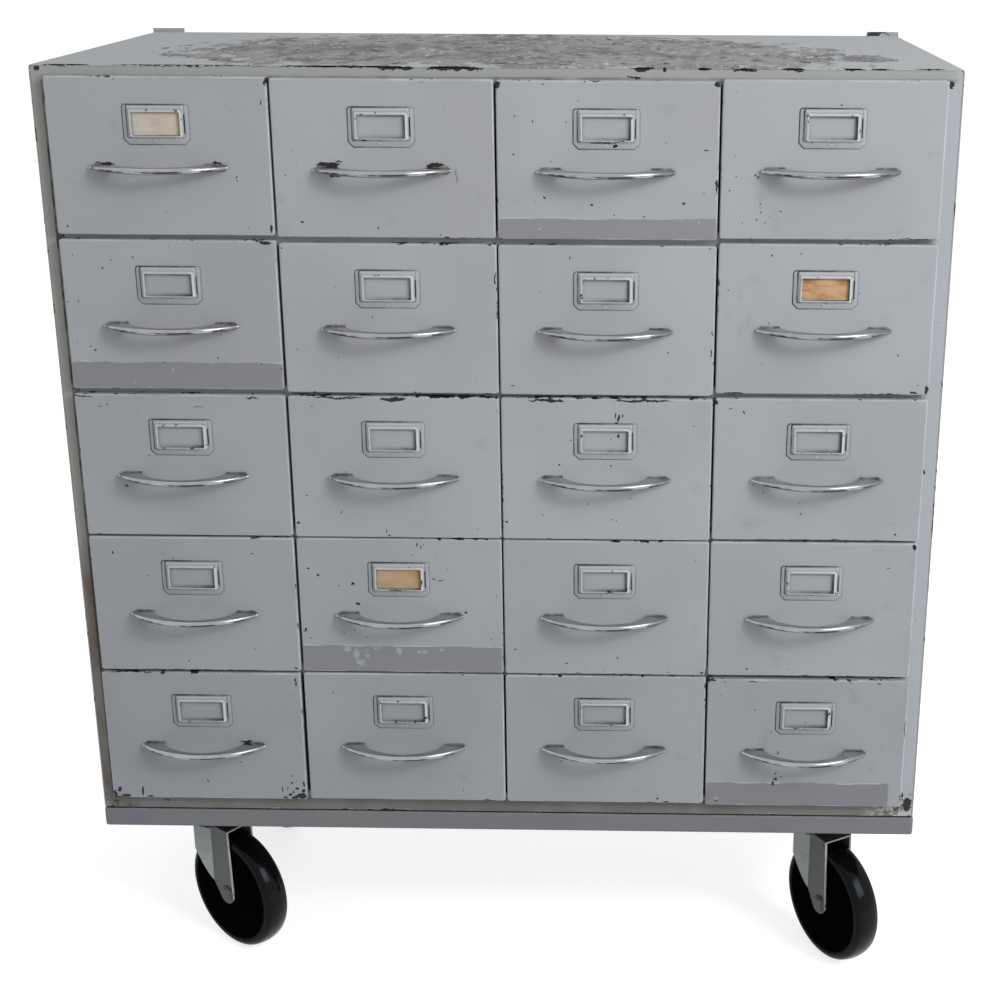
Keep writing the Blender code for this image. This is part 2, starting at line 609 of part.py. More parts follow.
def build_drawers(root, paint, chrome):
    """All drawers and their handles; every drawer has the same mesh."""
    drawer, handle = make_drawer(), make_handle()
    handle_z = FRONT_HEIGHT / 2 - HANDLE_FROM_TOP
    for row in range(ROWS):
        for column in range(COLUMNS):
            tag = "r%d_c%d" % (row + 1, column + 1)
            place = (column_x(column), FACE_Y, row_z(row))
            slide = add_node("drawer_" + tag, drawer, paint, root, place)
            add_node("handle_" + tag, handle, chrome, slide, (FITTING_SHIFT, -FRONT_PROUD, handle_z))


def build():
    """Make the whole cabinet, standing on the floor about the middle of its footprint."""
    clear_scene()
    paint = make_material("worn_grey_paint", (0.32, 0.33, 0.34), 0.45, 0.0)
    base_paint = make_material("base_paint", (0.16, 0.17, 0.19), 0.40, 0.0)
    chrome = make_material("chrome", (0.80, 0.80, 0.80), 0.15, 1.0)
    steel = make_material("caster_steel", (0.42, 0.43, 0.42), 0.45, 0.6)
    tyre = make_material("black_tyre", (0.012, 0.012, 0.014), 0.25, 0.0)
    root = add_empty("cabinet", None, (0, 0, 0))
    add_node("wrapper", make_wrapper(), paint, root)
    add_node("front_frame", make_front_frame(), paint, root)
    add_node("bottom_panel", make_bottom_panel(), paint, root)
    add_node("back_panel", make_back_panel(), paint, root)
    for column in range(COLUMNS - 1):
        add_node("partition_%d" % (column + 1), make_partition(column), paint, root)
    add_node("base_board", make_base_board(), base_paint, root)
    build_casters(root, steel, tyre)
    build_drawers(root, paint, chrome)


build()
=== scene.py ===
"""Looks of the worn card-index cabinet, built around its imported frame."""

import json
import math

import bmesh
import bpy
from mathutils import Matrix, Vector

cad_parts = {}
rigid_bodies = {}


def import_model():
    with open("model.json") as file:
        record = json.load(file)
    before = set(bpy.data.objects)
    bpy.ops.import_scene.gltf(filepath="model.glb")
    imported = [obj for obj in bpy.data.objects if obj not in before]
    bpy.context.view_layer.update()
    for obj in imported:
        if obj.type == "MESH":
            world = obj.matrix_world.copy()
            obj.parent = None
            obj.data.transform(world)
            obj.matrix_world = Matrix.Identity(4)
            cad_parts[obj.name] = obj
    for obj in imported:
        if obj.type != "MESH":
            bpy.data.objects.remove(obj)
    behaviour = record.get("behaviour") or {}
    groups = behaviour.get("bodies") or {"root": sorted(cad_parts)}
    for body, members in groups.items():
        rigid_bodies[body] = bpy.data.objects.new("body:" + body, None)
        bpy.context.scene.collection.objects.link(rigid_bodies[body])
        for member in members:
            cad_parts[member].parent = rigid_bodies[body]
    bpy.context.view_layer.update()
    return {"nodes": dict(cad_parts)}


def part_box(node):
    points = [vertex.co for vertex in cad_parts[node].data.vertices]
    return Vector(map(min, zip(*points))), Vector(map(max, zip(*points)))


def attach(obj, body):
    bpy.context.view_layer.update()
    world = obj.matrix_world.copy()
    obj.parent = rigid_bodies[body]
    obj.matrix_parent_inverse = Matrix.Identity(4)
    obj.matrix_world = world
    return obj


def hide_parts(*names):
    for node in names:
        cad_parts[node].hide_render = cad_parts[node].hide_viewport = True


for thing in list(bpy.data.objects):
    bpy.data.objects.remove(thing, do_unlink=True)

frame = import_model()

# Camera, fitted to the photograph; angles in radians
CAMERA_PLACE = (0.1447, -1.9864, 1.2250)
CAMERA_TURN = (1.237852, -0.004216, 0.016959)
CAMERA_LENS = 61.768
CAMERA_SHIFT_X = -0.11225
SENSOR = 36.0

# Grid of drawers
ROWS = 5
COLUMNS = 4

# Drawer fronts, in metres about the middle of the front with y = 0 at the carcass face
FRONT_WIDTH = 0.2275625
FRONT_HEIGHT = 0.1614
FRONT_PROUD = 0.011
FRONT_CLEARANCE = 0.0005
FRONT_ROUND = 0.0018
FRONT_CORNER = 0.0030
DRAWER_SHEET = 0.0010
BODY_HALF_WIDTH = 0.10603
BODY_HALF_HEIGHT = 0.07165
BODY_DEPTH = 0.461
BODY_BEND = 0.0022
RIM_FLANGE = 0.006

# Label holders, a little left of the middle of the fronts
FITTING_SHIFT = -0.0013
HOLDER_WIDTH = 0.068
HOLDER_TOP = 0.0528
HOLDER_BOTTOM = 0.0126
HOLDER_CORNER = 0.0054
HOLDER_PLATE = 0.0010
HOLDER_FRAME_WIDTH = 0.058
HOLDER_FRAME_TOP = 0.0521
HOLDER_FRAME_BOTTOM = 0.0199
HOLDER_RAISE = 0.0020
LIP_RAISE = 0.0010
WINDOW_WIDTH = 0.0492
WINDOW_TOP = 0.0451
WINDOW_BOTTOM = 0.0218
SLOT_X = 0.0292
SLOT_LOW = 0.0237
SLOT_HIGH = 0.0431
PLATE_ROUND = 0.0042
DIMPLE_PLACE = (FITTING_SHIFT + 0.0005, 0.0167)
DIMPLE_WIDE = 0.0042
DIMPLE_HIGH = 0.0019

# Paper cards in the windows
CARD_GAP = 0.0004
CARD_THICKNESS = 0.0003
CARD_BOW = 0.0010
CARD_STEPS = 14

# Bow handles
HANDLE_LENGTH = 0.142
HANDLE_PROJECTION = 0.035
HANDLE_BAR = 0.010
HANDLE_HEIGHT = 0.0070
HANDLE_TIP_HEIGHT = 0.0045
HANDLE_TIP_DEPTH = 0.004
FOOT_INNER = 0.046
FOOT_OUTER = 0.068
FOOT_EDGE = 0.0007
HANDLE_Z = -0.0105
GRIP_POWER = 1.8
SEAT_GAP = 0.0003

# Casters
CASTER_TRAIL = 0.042
WHEEL_RADIUS = 0.075
WHEEL_WIDTH = 0.032
TREAD_CROWN = 0.034
TREAD_FLAT = 0.011
HUB_RADIUS = 0.020
HUB_PROUD = 0.0005
WEB_RECESS = 0.0015
WEB_RADIUS = 0.050
AXLE_RADIUS = 0.006
AXLE_BORE = 0.0064
AXLE_HEAD_RADIUS = 0.009
LEG_INNER = 0.0170
FORK_SHEET = 0.0025
LEG_WIDTH = 0.034
LEG_TRAILING = 0.0517
LEG_LEAN = 0.0037
LEG_END_RADIUS = 0.0122
LEG_END_SETBACK = 0.0025
LEG_END_DROP = 0.0035
LEG_TAPER = 0.0828
WING_WIDTH = 0.024
WING_RISE = 0.043
WING_CURVE = 1.4
WING_FLARE = math.radians(25)
CROWN_BOTTOM = 0.159
CROWN_TOP = 0.1615
CROWN_RADIUS = 0.032
HEAD_RADIUS = 0.027
HEAD_TOP = 0.1715
KINGPIN_BORE = 0.0073
BOLT_INSET = 0.014
BOLT_DROP = 0.004
BOLT_ACROSS = 0.011
BOLT_HEIGHT = 0.0062
HEADINGS = {"front_left": 38.0, "front_right": 59.0, "rear_left": 52.0, "rear_right": 46.0}

# Carcass, from the frame's own solids
CARCASS_LOW, CARCASS_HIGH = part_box("wrapper")
FACE_Y = CARCASS_LOW.y
BACK_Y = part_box("back_panel")[1].y
TOP_Z = CARCASS_HIGH.z
BOTTOM_Z = CARCASS_LOW.z
HALF_WIDTH = CARCASS_HIGH.x
CARCASS_CENTRE = (0.0, (FACE_Y + BACK_Y) / 2, (TOP_Z + BOTTOM_Z) / 2)
CARCASS_HALF = (HALF_WIDTH, (BACK_Y - FACE_Y) / 2, (TOP_Z - BOTTOM_Z) / 2)
STILE_EDGE = 0.019
STILE_SOLID = 0.015
RIVET_INSET = 0.014
RIVETS_ACROSS = 9
RIVETS_UP = 8

# Studio: light of the surroundings on the left and right, the floor, and lamps as size, power and place
SKY_LEFT = 0.255
SKY_RIGHT = 0.76
FLOOR_REACH = 40.0
FLOOR_GREY = 0.60
FLOOR_GLOW = 0.76
WHITE = (1.0, 1.0, 1.0, 1.0)
LAMP_AIM = Vector((0.0, -0.2, 0.65))
LAMPS = {"key": (1.8, 36.0, (2.1, -2.1, 2.27)), "pane": (0.5, 25.0, (2.1, -2.1, 2.27)),
         "fill": (2.0, 16.0, (0.8, 2.8, 2.4))}


def srgb(*levels):
    """A display colour, 0 to 255, as the linear colour that shaders take."""
    return (*(((level / 255 + 0.055) / 1.055) ** 2.4 for level in levels), 1.0)


class Field:
    """A value that varies over a surface; arithmetic with fields adds nodes to their tree."""

    def __init__(self, nodes, socket):
        self.nodes, self.socket = nodes, socket

    def __add__(self, other):
        return self.nodes.math("ADD", self, other)

    def __sub__(self, other):
        return self.nodes.math("SUBTRACT", self, other)

    def __rsub__(self, other):
        return self.nodes.math("SUBTRACT", other, self)

    def __mul__(self, other):
        """Scaled, or of masks, where both hold."""
        return self.nodes.math("MULTIPLY", self, other)

    def __pow__(self, power):
        return self.nodes.math("POWER", self, power)

    def __abs__(self):
        return self.nodes.math("ABSOLUTE", self)

    def fade(self, low, high):
        """0 at low and 1 at high, smooth between."""
        return self.nodes.field("ShaderNodeMapRange", self, low, high, interpolation_type="SMOOTHSTEP")

    def scaled(self, low, high, start, end):
        """A straight change of range, held at its ends."""
        return self.nodes.field("ShaderNodeMapRange", self, low, high, start, end)


class Nodes:
    """A node tree, with short ways to add to it."""

    def __init__(self, tree):
        self.tree = tree

    def feed(self, socket, value):
        """Link or set one input."""
        if isinstance(value, Field):
            value = value.socket
        if isinstance(value, bpy.types.NodeSocket):
            self.tree.links.new(value, socket)
        else:
            socket.default_value = value

    def add(self, kind, *values, **settings):
        """A node with its first inputs fed in order."""
        node = self.tree.nodes.new(kind)
        for name, value in settings.items():
            setattr(node, name, value)
        for socket, value in zip(node.inputs, values):
            self.feed(socket, value)
        return node

    def field(self, kind, *values, **settings):
        """A node's first output."""
        return Field(self, self.add(kind, *values, **settings).outputs[0])

    def math(self, operation, *values):
        return self.field("ShaderNodeMath", *values, operation=operation)

    def vector(self, operation, *values):
        return self.add("ShaderNodeVectorMath", *values, operation=operation).outputs[0]

    def length(self, vector):
        return Field(self, self.add("ShaderNodeVectorMath", vector, operation="LENGTH").outputs["Value"])

    def mix(self, mask, first, second, kind="RGBA"):
        node = self.add("ShaderNodeMix", mask, data_type=kind)
        start = {"RGBA": 6, "FLOAT": 2}[kind]
        self.feed(node.inputs[start], first)
        self.feed(node.inputs[start + 1], second)
        return node.outputs[{"RGBA": 2, "FLOAT": 0}[kind]]


class Surface(Nodes):
    """A material painted in layers; each layer is a mask with a colour, a gloss and a height."""

    def __init__(self, name, colour, roughness, shift=(0.0, 0.0, 0.0)):
        self.material = bpy.data.materials.new(name)
        self.material.use_nodes = True
        super().__init__(self.material.node_tree)
        self.shader = self.tree.nodes["Principled BSDF"]
        self.point = self.add("ShaderNodeTexCoord").outputs["Object"]
        parts = self.add("ShaderNodeSeparateXYZ", self.point).outputs
        self.x, self.y, self.z = (Field(self, part) for part in parts)
        self.grain = self.vector("ADD", self.point, shift)
        self.colour, self.roughness, self.height = colour, roughness, None

    def noise_node(self, scale, detail=3.0, roughness=0.5, stretch=None):
        node = self.add("ShaderNodeTexNoise")
        place = self.vector("MULTIPLY", self.grain, stretch) if stretch else self.grain
        for name, value in (("Vector", place), ("Scale", scale), ("Detail", detail), ("Roughness", roughness)):
            self.feed(node.inputs[name], value)
        return node

    def noise(self, *values, **settings):
        """Cloudy values about one half; scale is in cells per metre."""
        return Field(self, self.noise_node(*values, **settings).outputs[0])

    def ragged(self, reach, scale):
        """A small shift by noise, so that what is drawn with it has a torn outline."""
        jitter = self.noise_node(scale, 4.0, 0.6).outputs[1]
        return self.vector("MULTIPLY", self.vector("SUBTRACT", jitter, (0.5,) * 3), (reach,) * 3)

    def edge(self, centre, half):
        """How far a point on a box's skin lies from the box's nearest edge."""
        gaps = [reach - abs(value - middle)
                for value, middle, reach in zip((self.x, self.y, self.z), centre, half)]
        low, high = self.math("MINIMUM", *gaps[:2]), self.math("MAXIMUM", *gaps[:2])
        return self.math("MAXIMUM", low, self.math("MINIMUM", high, gaps[2]))

    def outline(self, centre, half, corner):
        """Distance in x and z from a rounded rectangle, below zero inside."""
        sides = [abs(value - middle) - (reach - corner)
                 for value, middle, reach in zip((self.x, self.z), centre, half)]
        outer = self.add("ShaderNodeCombineXYZ", *(self.math("MAXIMUM", side, 0.0) for side in sides))
        inner = self.math("MINIMUM", self.math("MAXIMUM", *sides), 0.0)
        return self.length(outer.outputs[0]) + inner - corner

    def marks(self, places, jitter):
        """Dabs at chosen places in millimetres: x, z and, unless small and round, half width and height."""
        torn = self.vector("ADD", self.point, jitter)
        nearest = 9.0
        for x, z, *size in places:
            wide, high = (size + size)[:2] if size else (DAB, DAB)
            spot = self.add("ShaderNodeMapping", torn, (-x / wide, 0.0, -z / high), (0.0, 0.0, 0.0),
                            (1000 / wide, 0.0, 1000 / high)).outputs[0]
            nearest = self.math("MINIMUM", nearest, self.length(spot))
        return nearest.fade(1.0, 0.8)

    def spots(self, scale, share, size, jitter, flat=False):
        """Scattered dabs: the share of cells that has one, and the largest one's radius in cells."""
        place = self.vector("ADD", self.grain, jitter)
        if flat:
            x, _, z = self.add("ShaderNodeSeparateXYZ", place).outputs
            place = self.add("ShaderNodeCombineXYZ", x, z).outputs[0]
        node = self.add("ShaderNodeTexVoronoi", voronoi_dimensions="2D" if flat else "3D")
        self.feed(node.inputs["Vector"], place)
        self.feed(node.inputs["Scale"], scale)
        chance = self.field("ShaderNodeSeparateColor", node.outputs["Color"])
        radius = chance.scaled(1 - share, 1.0, 0.0, size)
        return (radius - node.outputs["Distance"]).fade(0.0, size / 4)

    def layer(self, mask, colour=None, roughness=None, height=None):
        """Lay a colour, a gloss and a height in metres where the mask is."""
        if colour is not None:
            self.colour = self.mix(mask, self.colour, colour)
        if roughness is not None:
            self.roughness = self.mix(mask, self.roughness, roughness, "FLOAT")
        if height is not None:
            lift = mask * height
            self.height = lift if self.height is None else self.height + lift

    def finish(self, **values):
        """Feed the shader and hand over the material."""
        self.feed(self.shader.inputs["Base Color"], self.colour)
        self.feed(self.shader.inputs["Roughness"], self.roughness)
        for name, value in values.items():
            self.shader.inputs[name.replace("_", " ")].default_value = value
        if self.height is not None:
            bump = self.add("ShaderNodeBump")
            self.feed(bump.inputs["Distance"], 1.0)
            self.feed(bump.inputs["Height"], self.height)
            self.feed(self.shader.inputs["Normal"], bump.outputs[0])
        return self.material


# Colours of the paint and of what shows under it
PALE_GREY = srgb(190, 194, 197)
BARE_STEEL = srgb(133, 133, 134)
RUBBED_STEEL = srgb(165, 164, 165)
RUBBED_DARK = srgb(133, 131, 132)
BLACKENED = srgb(28, 28, 30)
RUST = srgb(88, 66, 55)
BAND_GREY = srgb(136, 137, 143)
# Dark grey for dirt, and for painted shade round the label holders
GRIME_AND_SHADE = srgb(52, 52, 50)

# Roughness of dirt, rust and bared metal
MATT = 0.6

# Half the width of a small chip, in millimetres
DAB = 0.78


def toned(colour, tone):
    """A colour with its red, green and blue scaled."""
    return (*(part * level for part, level in zip(tone, colour)), 1.0)


def start_paint(name, shift, tone=(1, 1, 1)):
    """Old enamel: two close greys in clouds, smudges, orange peel and faint waves in the sheet."""
    def grey(*levels):
        return toned(srgb(*levels), tone)

    paint = Surface(name, grey(167, 171, 176), 0.45, shift)
    paint.layer(paint.noise(5, 2).fade(0.4, 0.62), grey(162, 165, 169))
    smudge = paint.noise(24, 5, 0.62).fade(0.58, 0.84)
    paint.layer(smudge, grey(152, 155, 158), 0.52)
    paint.layer(paint.noise(700, 2), height=0.00002)
    paint.layer(paint.noise(7, 1), height=0.0008)
    return paint


def chip(paint, mask, rust=0.62, depth=-0.00012):
    """Paint gone down to black metal, with rust in some of it."""
    rusty = paint.noise(35, 2).fade(rust, rust + 0.08)
    paint.layer(mask, paint.mix(rusty, BLACKENED, RUST), 0.62, depth)


def edge_chips(paint, edge, reach, amount, scale=85):
    """Chips that crowd towards an edge, and the pale rim of the torn paint about them."""
    grain = paint.noise(scale, 6, 0.62)
    crowd = paint.noise(11, 1)
    near = edge.scaled(0, reach, amount, -0.12)
    level = grain + near + crowd * 0.45
    paint.layer(level.fade(0.915, 0.945) * 0.7, PALE_GREY)
    return level.fade(0.955, 0.975)


def holder_dirt_and_shade(paint):
    """Dirt along the label holder's edges and painted shade: darker on the side away from the light, at the
    frame's foot, in the slot and on the window floor, with a painted highlight on the right lip.
    """
    top, bottom = HOLDER_TOP, HOLDER_BOTTOM
    plate = paint.outline((FITTING_SHIFT, (top + bottom) / 2), (HOLDER_WIDTH / 2, (top - bottom) / 2), 0.003)
    out = abs(paint.x - FITTING_SHIFT)
    cut = out - paint.z - (HOLDER_WIDTH / 2 - bottom - HOLDER_CORNER)
    plate = paint.math("MAXIMUM", plate, cut * 0.7071)
    uneven = paint.noise(70, 4, 0.6).fade(0.3, 0.62)
    # Painted shade: stronger towards the left, the side away from the light
    shaded_side = paint.x.scaled(0.034, -0.026, 0.42, 1)
    # Dirt along the plate's edge, with painted shade on its left
    seam = plate.fade(0.0011, 0.0003) * plate.fade(-0.0009, -0.0002)
    paint.layer(seam * shaded_side * uneven.scaled(0, 1, 0.6, 1), GRIME_AND_SHADE, MATT)
    top, bottom = HOLDER_FRAME_TOP, HOLDER_FRAME_BOTTOM
    raised = paint.outline((FITTING_SHIFT, (top + bottom) / 2),
                           (HOLDER_FRAME_WIDTH / 2, (top - bottom) / 2), 0.0015)
    # Painted shade at the foot of the raised frame, mostly on the left
    foot = raised.fade(-0.0004, 0.0003) * raised.fade(0.0016, 0.0008) * shaded_side
    paint.layer(foot * uneven.scaled(0, 1, 0.4, 1), GRIME_AND_SHADE, MATT)
    # Painted shade in the narrow card slot
    slot = paint.outline((FITTING_SHIFT + SLOT_X, (SLOT_LOW + SLOT_HIGH) / 2),
                         (0.0006, (SLOT_HIGH - SLOT_LOW) / 2), 0.0003)
    paint.layer(slot.fade(0.0003, -0.0002) * uneven.scaled(0, 1, 0.6, 1), srgb(44, 44, 46), 0.7)
    window = paint.outline((FITTING_SHIFT, (WINDOW_TOP + WINDOW_BOTTOM) / 2),
                           (WINDOW_WIDTH / 2, (WINDOW_TOP - WINDOW_BOTTOM) / 2), 0.0008)
    # Pale worn lips, with a painted highlight that grows towards the right, where the light comes from
    lip = window.fade(0.0001, 0.0006) * window.fade(0.0034, 0.0026)
    bright = paint.x.scaled(0.018, 0.0245, 0.5, 1)
    paint.layer(lip * bright, srgb(212, 215, 217), 0.36)
    band = paint.z.fade(0.049, 0.0495) * raised.fade(-0.0004, -0.001)
    paint.layer(band * 0.5, PALE_GREY)
    torn = (window.fade(-0.0008, 0.0002) * window.fade(0.004, 0.0028)
            * paint.noise(150, 5, 0.65).fade(0.61, 0.64))
    chip(paint, torn, 0.75)
    # Painted shadow of the frame on the window floor, strongest at the right
    corner = paint.x.scaled(-0.02, 0.022, 0.15, 0.8)
    inner = window.fade(-0.004, -0.0002) * window.fade(0.0003, 0) * corner
    paint.layer(inner * uneven.scaled(0, 1, 0.4, 1), GRIME_AND_SHADE, MATT)


def front_paint(tag, shift, tone, band, marks, wear, peels):
    """A drawer front's enamel, with dirt and painted shade round its fittings, chips and an older coat low
    down.
    """
    paint = start_paint("front_paint_" + tag, shift, tone)
    jitter = paint.vector("ADD", paint.ragged(0.0024, 420), paint.ragged(0.007, 110))
    edge = paint.edge((0, -FRONT_PROUD / 2, 0), (FRONT_WIDTH / 2, FRONT_PROUD / 2, FRONT_HEIGHT / 2))
    if band:
        top, end = band
        level = top / 1000
        wander = (paint.noise(22, 5, 0.6) - 0.5) * 0.007
        z = paint.z + wander
        inside = paint.x.fade(FRONT_WIDTH * (end - 0.5) + 0.0006, FRONT_WIDTH * (end - 0.5) - 0.0006)
        low = z.fade(level + 0.0003, level - 0.0003) * inside
        rim = z.fade(level - 0.001, level) * z.fade(level + 0.0014, level) * inside
        kept = paint.noise(60, 5, 0.65).fade(0.67, 0.7)
        if peels:
            flaked = paint.noise(120, 6, 0.68).fade(0.475, 0.5)
            kept = paint.math("MAXIMUM", kept, paint.marks(peels, jitter) * flaked)
        paint.layer(low, paint.mix(kept, toned(BAND_GREY, tone), paint.colour), 0.5, -0.00006)
        paint.layer(rim * paint.noise(40, 3).fade(0.44, 0.6), PALE_GREY)
    holder_dirt_and_shade(paint)
    foot = paint.outline((FITTING_SHIFT, HANDLE_Z), (FOOT_OUTER, HANDLE_HEIGHT / 2), 0.003)
    reach = abs(paint.x - FITTING_SHIFT)
    seat = foot.fade(0.0014, 0.0002) * reach.fade(FOOT_INNER - 0.001, FOOT_INNER + 0.001)
    paint.layer(seat * paint.noise(90, 4).scaled(0.35, 0.65, 0.25, 0.9), GRIME_AND_SHADE, MATT)
    worn = edge.fade(0.0026, 0.0007) * paint.noise(16, 3).fade(0.38, 0.62)
    paint.layer(worn * 0.8, PALE_GREY, 0.36)
    chip(paint, edge_chips(paint, edge, 0.0034, 0.155), 0.7)
    crown = FRONT_HEIGHT / 2 - paint.z
    chip(paint, edge_chips(paint, crown, 0.005, wear), 0.7)
    chip(paint, paint.spots(52, 0.05, 0.05, jitter, flat=True), 0.7)
    if marks:
        chip(paint, paint.marks(marks, jitter), 0.7)
    return paint.finish(Specular_IOR_Level=0.35)


def wrapper_paint():
    """The carcass: a top rubbed down to the steel, chipped edges and plain flanks."""
    paint = start_paint("wrapper_paint", (3.1, 1.7, 0.4))
    jitter = paint.ragged(0.004, 200)
    edge = paint.edge(CARCASS_CENTRE, CARCASS_HALF)
    upward = paint.z.fade(TOP_Z - 0.004, TOP_Z - 0.001)
    ridge = paint.math("MAXIMUM", paint.x, 0) * 0.29 + paint.math("MAXIMUM", paint.x * -1, 0) * 0.13
    far_y = (paint.y - 0.03 + ridge) * (1 / 0.235)
    far_x = (paint.x - 0.005) * (1 / 0.365)
    away = abs(far_x) ** 3 + abs(far_y) ** 2
    patch = paint.length(paint.add("ShaderNodeMapping", paint.point, (-0.39 / 0.03, 0.09 / 0.05, 0), (0, 0, 0),
                                   (1 / 0.03, 1 / 0.05, 0)).outputs[0])
    away = paint.math("MINIMUM", away, patch)
    flake = paint.noise(32, 9, 0.72, stretch=(1, 0.5, 1))
    level = flake - away * 0.24
    rubbed = upward * level.fade(0.272, 0.282)
    grain = paint.noise(42, 9, 0.75, stretch=(1, 0.45, 1)) + paint.noise(8, 2) * 0.5
    shade = paint.mix(grain.fade(0.62, 0.84), RUBBED_DARK, RUBBED_STEEL)
    paint.layer(upward * 0.8, srgb(192, 195, 197), 0.68)
    paint.layer(rubbed, shade, 0.62, -0.00015)
    torn = upward * level.fade(0.262, 0.272) * level.fade(0.29, 0.28)
    paint.layer(torn * paint.noise(60, 3).fade(0.46, 0.54), srgb(100, 99, 100), MATT)
    flecks = rubbed * paint.noise(120, 7, 0.75, stretch=(1, 0.4, 1)).fade(0.6, 0.62)
    paint.layer(flecks, srgb(216, 218, 219), MATT)
    scars = rubbed * paint.noise(60, 6, 0.72, stretch=(1, 0.4, 1)).fade(0.41, 0.38)
    paint.layer(scars, srgb(106, 105, 106), MATT)
    drawn = paint.noise(14, 5, 0.6, stretch=(1, 1, 0.16)).fade(0.56, 0.76)
    paint.layer(drawn * paint.z.fade(TOP_Z, TOP_Z - 0.01), srgb(148, 150, 151), 0.52)
    low = paint.z.fade(BOTTOM_Z + 0.08, BOTTOM_Z) * paint.noise(20, 5, 0.6).fade(0.46, 0.74)
    paint.layer(low, srgb(128, 120, 111), MATT)
    chip(paint, edge_chips(paint, edge, 0.0045, 0.155, 60), 0.66)
    chip(paint, paint.marks(TOP_EDGE_MARKS, jitter) * paint.y.fade(FACE_Y + 0.006, FACE_Y + 0.003), 0.8)
    chip(paint, paint.spots(26, 0.1, 0.07, jitter), 0.66)
    paint.feed(paint.shader.inputs["Specular IOR Level"], upward.scaled(0, 1, 0.15, 0))
    return paint.finish()


def frame_paint():
    """The front frame: chips under the top edge, a left stile darkened with grime and painted shade, painted
    light on the right stile, painted shade behind the face and in the gaps, and a brown-grey foot.
    """
    paint = start_paint("frame_paint", (0.7, 2.9, 5.3), (1.04, 1.04, 1.04))
    jitter = paint.vector("ADD", paint.ragged(0.004, 320), paint.ragged(0.01, 90))
    edge = paint.edge(CARCASS_CENTRE, CARCASS_HALF)
    # A darker left stile: grime, and painted shade of the drawer fronts that stand proud next to it
    left = paint.x.fade(STILE_EDGE - HALF_WIDTH, STILE_SOLID - HALF_WIDTH)
    paint.layer(left, srgb(163, 162, 156), 0.55)
    rusty = (left * paint.z.fade(0.58, 0.5)
             * paint.noise(24, 6, 0.65, stretch=(1, 1, 0.35)).scaled(0.35, 0.6, 0.35, 1))
    paint.layer(rusty, srgb(108, 96, 90), 0.65)
    inner = (paint.x.fade(-HALF_WIDTH + 0.0095, -HALF_WIDTH + 0.012) * left * paint.z.fade(0.6, 0.46)
             * paint.noise(30, 5, 0.6, stretch=(1, 1, 0.4)).fade(0.42, 0.54))
    paint.layer(inner, srgb(92, 64, 54), 0.7)
    # Painted light: the right stile paler, on the side the light comes from
    right = paint.x.fade(HALF_WIDTH - STILE_EDGE, HALF_WIDTH - STILE_SOLID)
    paint.layer(right, srgb(172, 177, 183))
    foot = paint.z.fade(BOTTOM_Z + 0.02, BOTTOM_Z + 0.0185)
    inside = abs(paint.x).fade(HALF_WIDTH - 0.004, HALF_WIDTH - 0.01)
    brown = paint.mix(paint.noise(20, 4).fade(0.4, 0.62), srgb(122, 121, 121), srgb(112, 109, 106))
    paint.layer(foot * inside, brown, MATT)
    paint.layer(paint.z.fade(TOP_Z - 0.0125, TOP_Z - 0.0105) * inside, srgb(165, 167, 166))
    # Painted shade on the frame's parts behind its face, seen between the fronts
    behind = paint.y.fade(FACE_Y + 0.0006, FACE_Y + 0.003)
    paint.layer(behind, srgb(58, 58, 57), MATT)
    # Painted shade: a dark line next to the left column of fronts, and a softer one under the top rail
    side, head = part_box("drawer_r1_c1")[0].x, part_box("drawer_r1_c1")[1].z
    painted_gap_shade = (paint.x.fade(side - 0.0062, side - 0.005) * paint.x.fade(side + 0.004, side + 0.003)
              * paint.z.fade(head - 0.003, head - 0.005) * paint.z.fade(BOTTOM_Z + 0.018, BOTTOM_Z + 0.02))
    under = paint.z.fade(head + 0.0017, head + 0.0008) * paint.z.fade(head - 0.003, head - 0.002) * inside
    uneven = paint.noise(26, 5, 0.65).scaled(0.36, 0.58, 0.25, 1)
    paint.layer(paint.math("MAXIMUM", painted_gap_shade, under * 0.5) * uneven, srgb(54, 53, 51), 0.65)
    peel = (paint.x.fade(0.41, 0.445) * paint.z.fade(BOTTOM_Z + 0.034, BOTTOM_Z + 0.012)
            * paint.noise(120, 6, 0.7).fade(0.47, 0.51))
    paint.layer(peel, srgb(186, 187, 184), MATT)
    right_foot = paint.x.fade(0.425, 0.455) * paint.z.fade(BOTTOM_Z + 0.04, BOTTOM_Z + 0.01)
    chip(paint, right_foot * paint.noise(150, 6, 0.7).fade(0.57, 0.6), 0.7)
    left_foot = paint.x.fade(-0.43, -0.462) * paint.z.fade(BOTTOM_Z + 0.024, BOTTOM_Z + 0.006)
    chip(paint, left_foot * paint.noise(110, 6, 0.7).fade(0.52, 0.56), 0.5)
    chip(paint, edge_chips(paint, edge, 0.004, 0.15, 60), 0.68)
    chip(paint, paint.marks(TOP_EDGE_MARKS + FRAME_MARKS, jitter), 0.8)
    return paint.finish(Specular_IOR_Level=0.35)


def back_paint():
    """The rear sheet, never seen from the room: thin paint, runs of rust and scuffs."""
    paint = start_paint("back_paint", (8.3, 4.1, 2.2))
    jitter = paint.ragged(0.004, 200)
    edge = paint.edge(CARCASS_CENTRE, CARCASS_HALF)
    runs = paint.noise(26, 5, 0.6, stretch=(1, 1, 0.1)).fade(0.55, 0.75)
    paint.layer(runs, srgb(138, 132, 124), 0.55)
    low = paint.z.fade(BOTTOM_Z + 0.16, BOTTOM_Z) * paint.noise(18, 6, 0.6).fade(0.42, 0.66)
    paint.layer(low, srgb(124, 104, 90), 0.65)
    chip(paint, edge_chips(paint, edge, 0.006, 0.22, 60))
    chip(paint, paint.spots(24, 0.2, 0.12, jitter))
    return paint.finish()


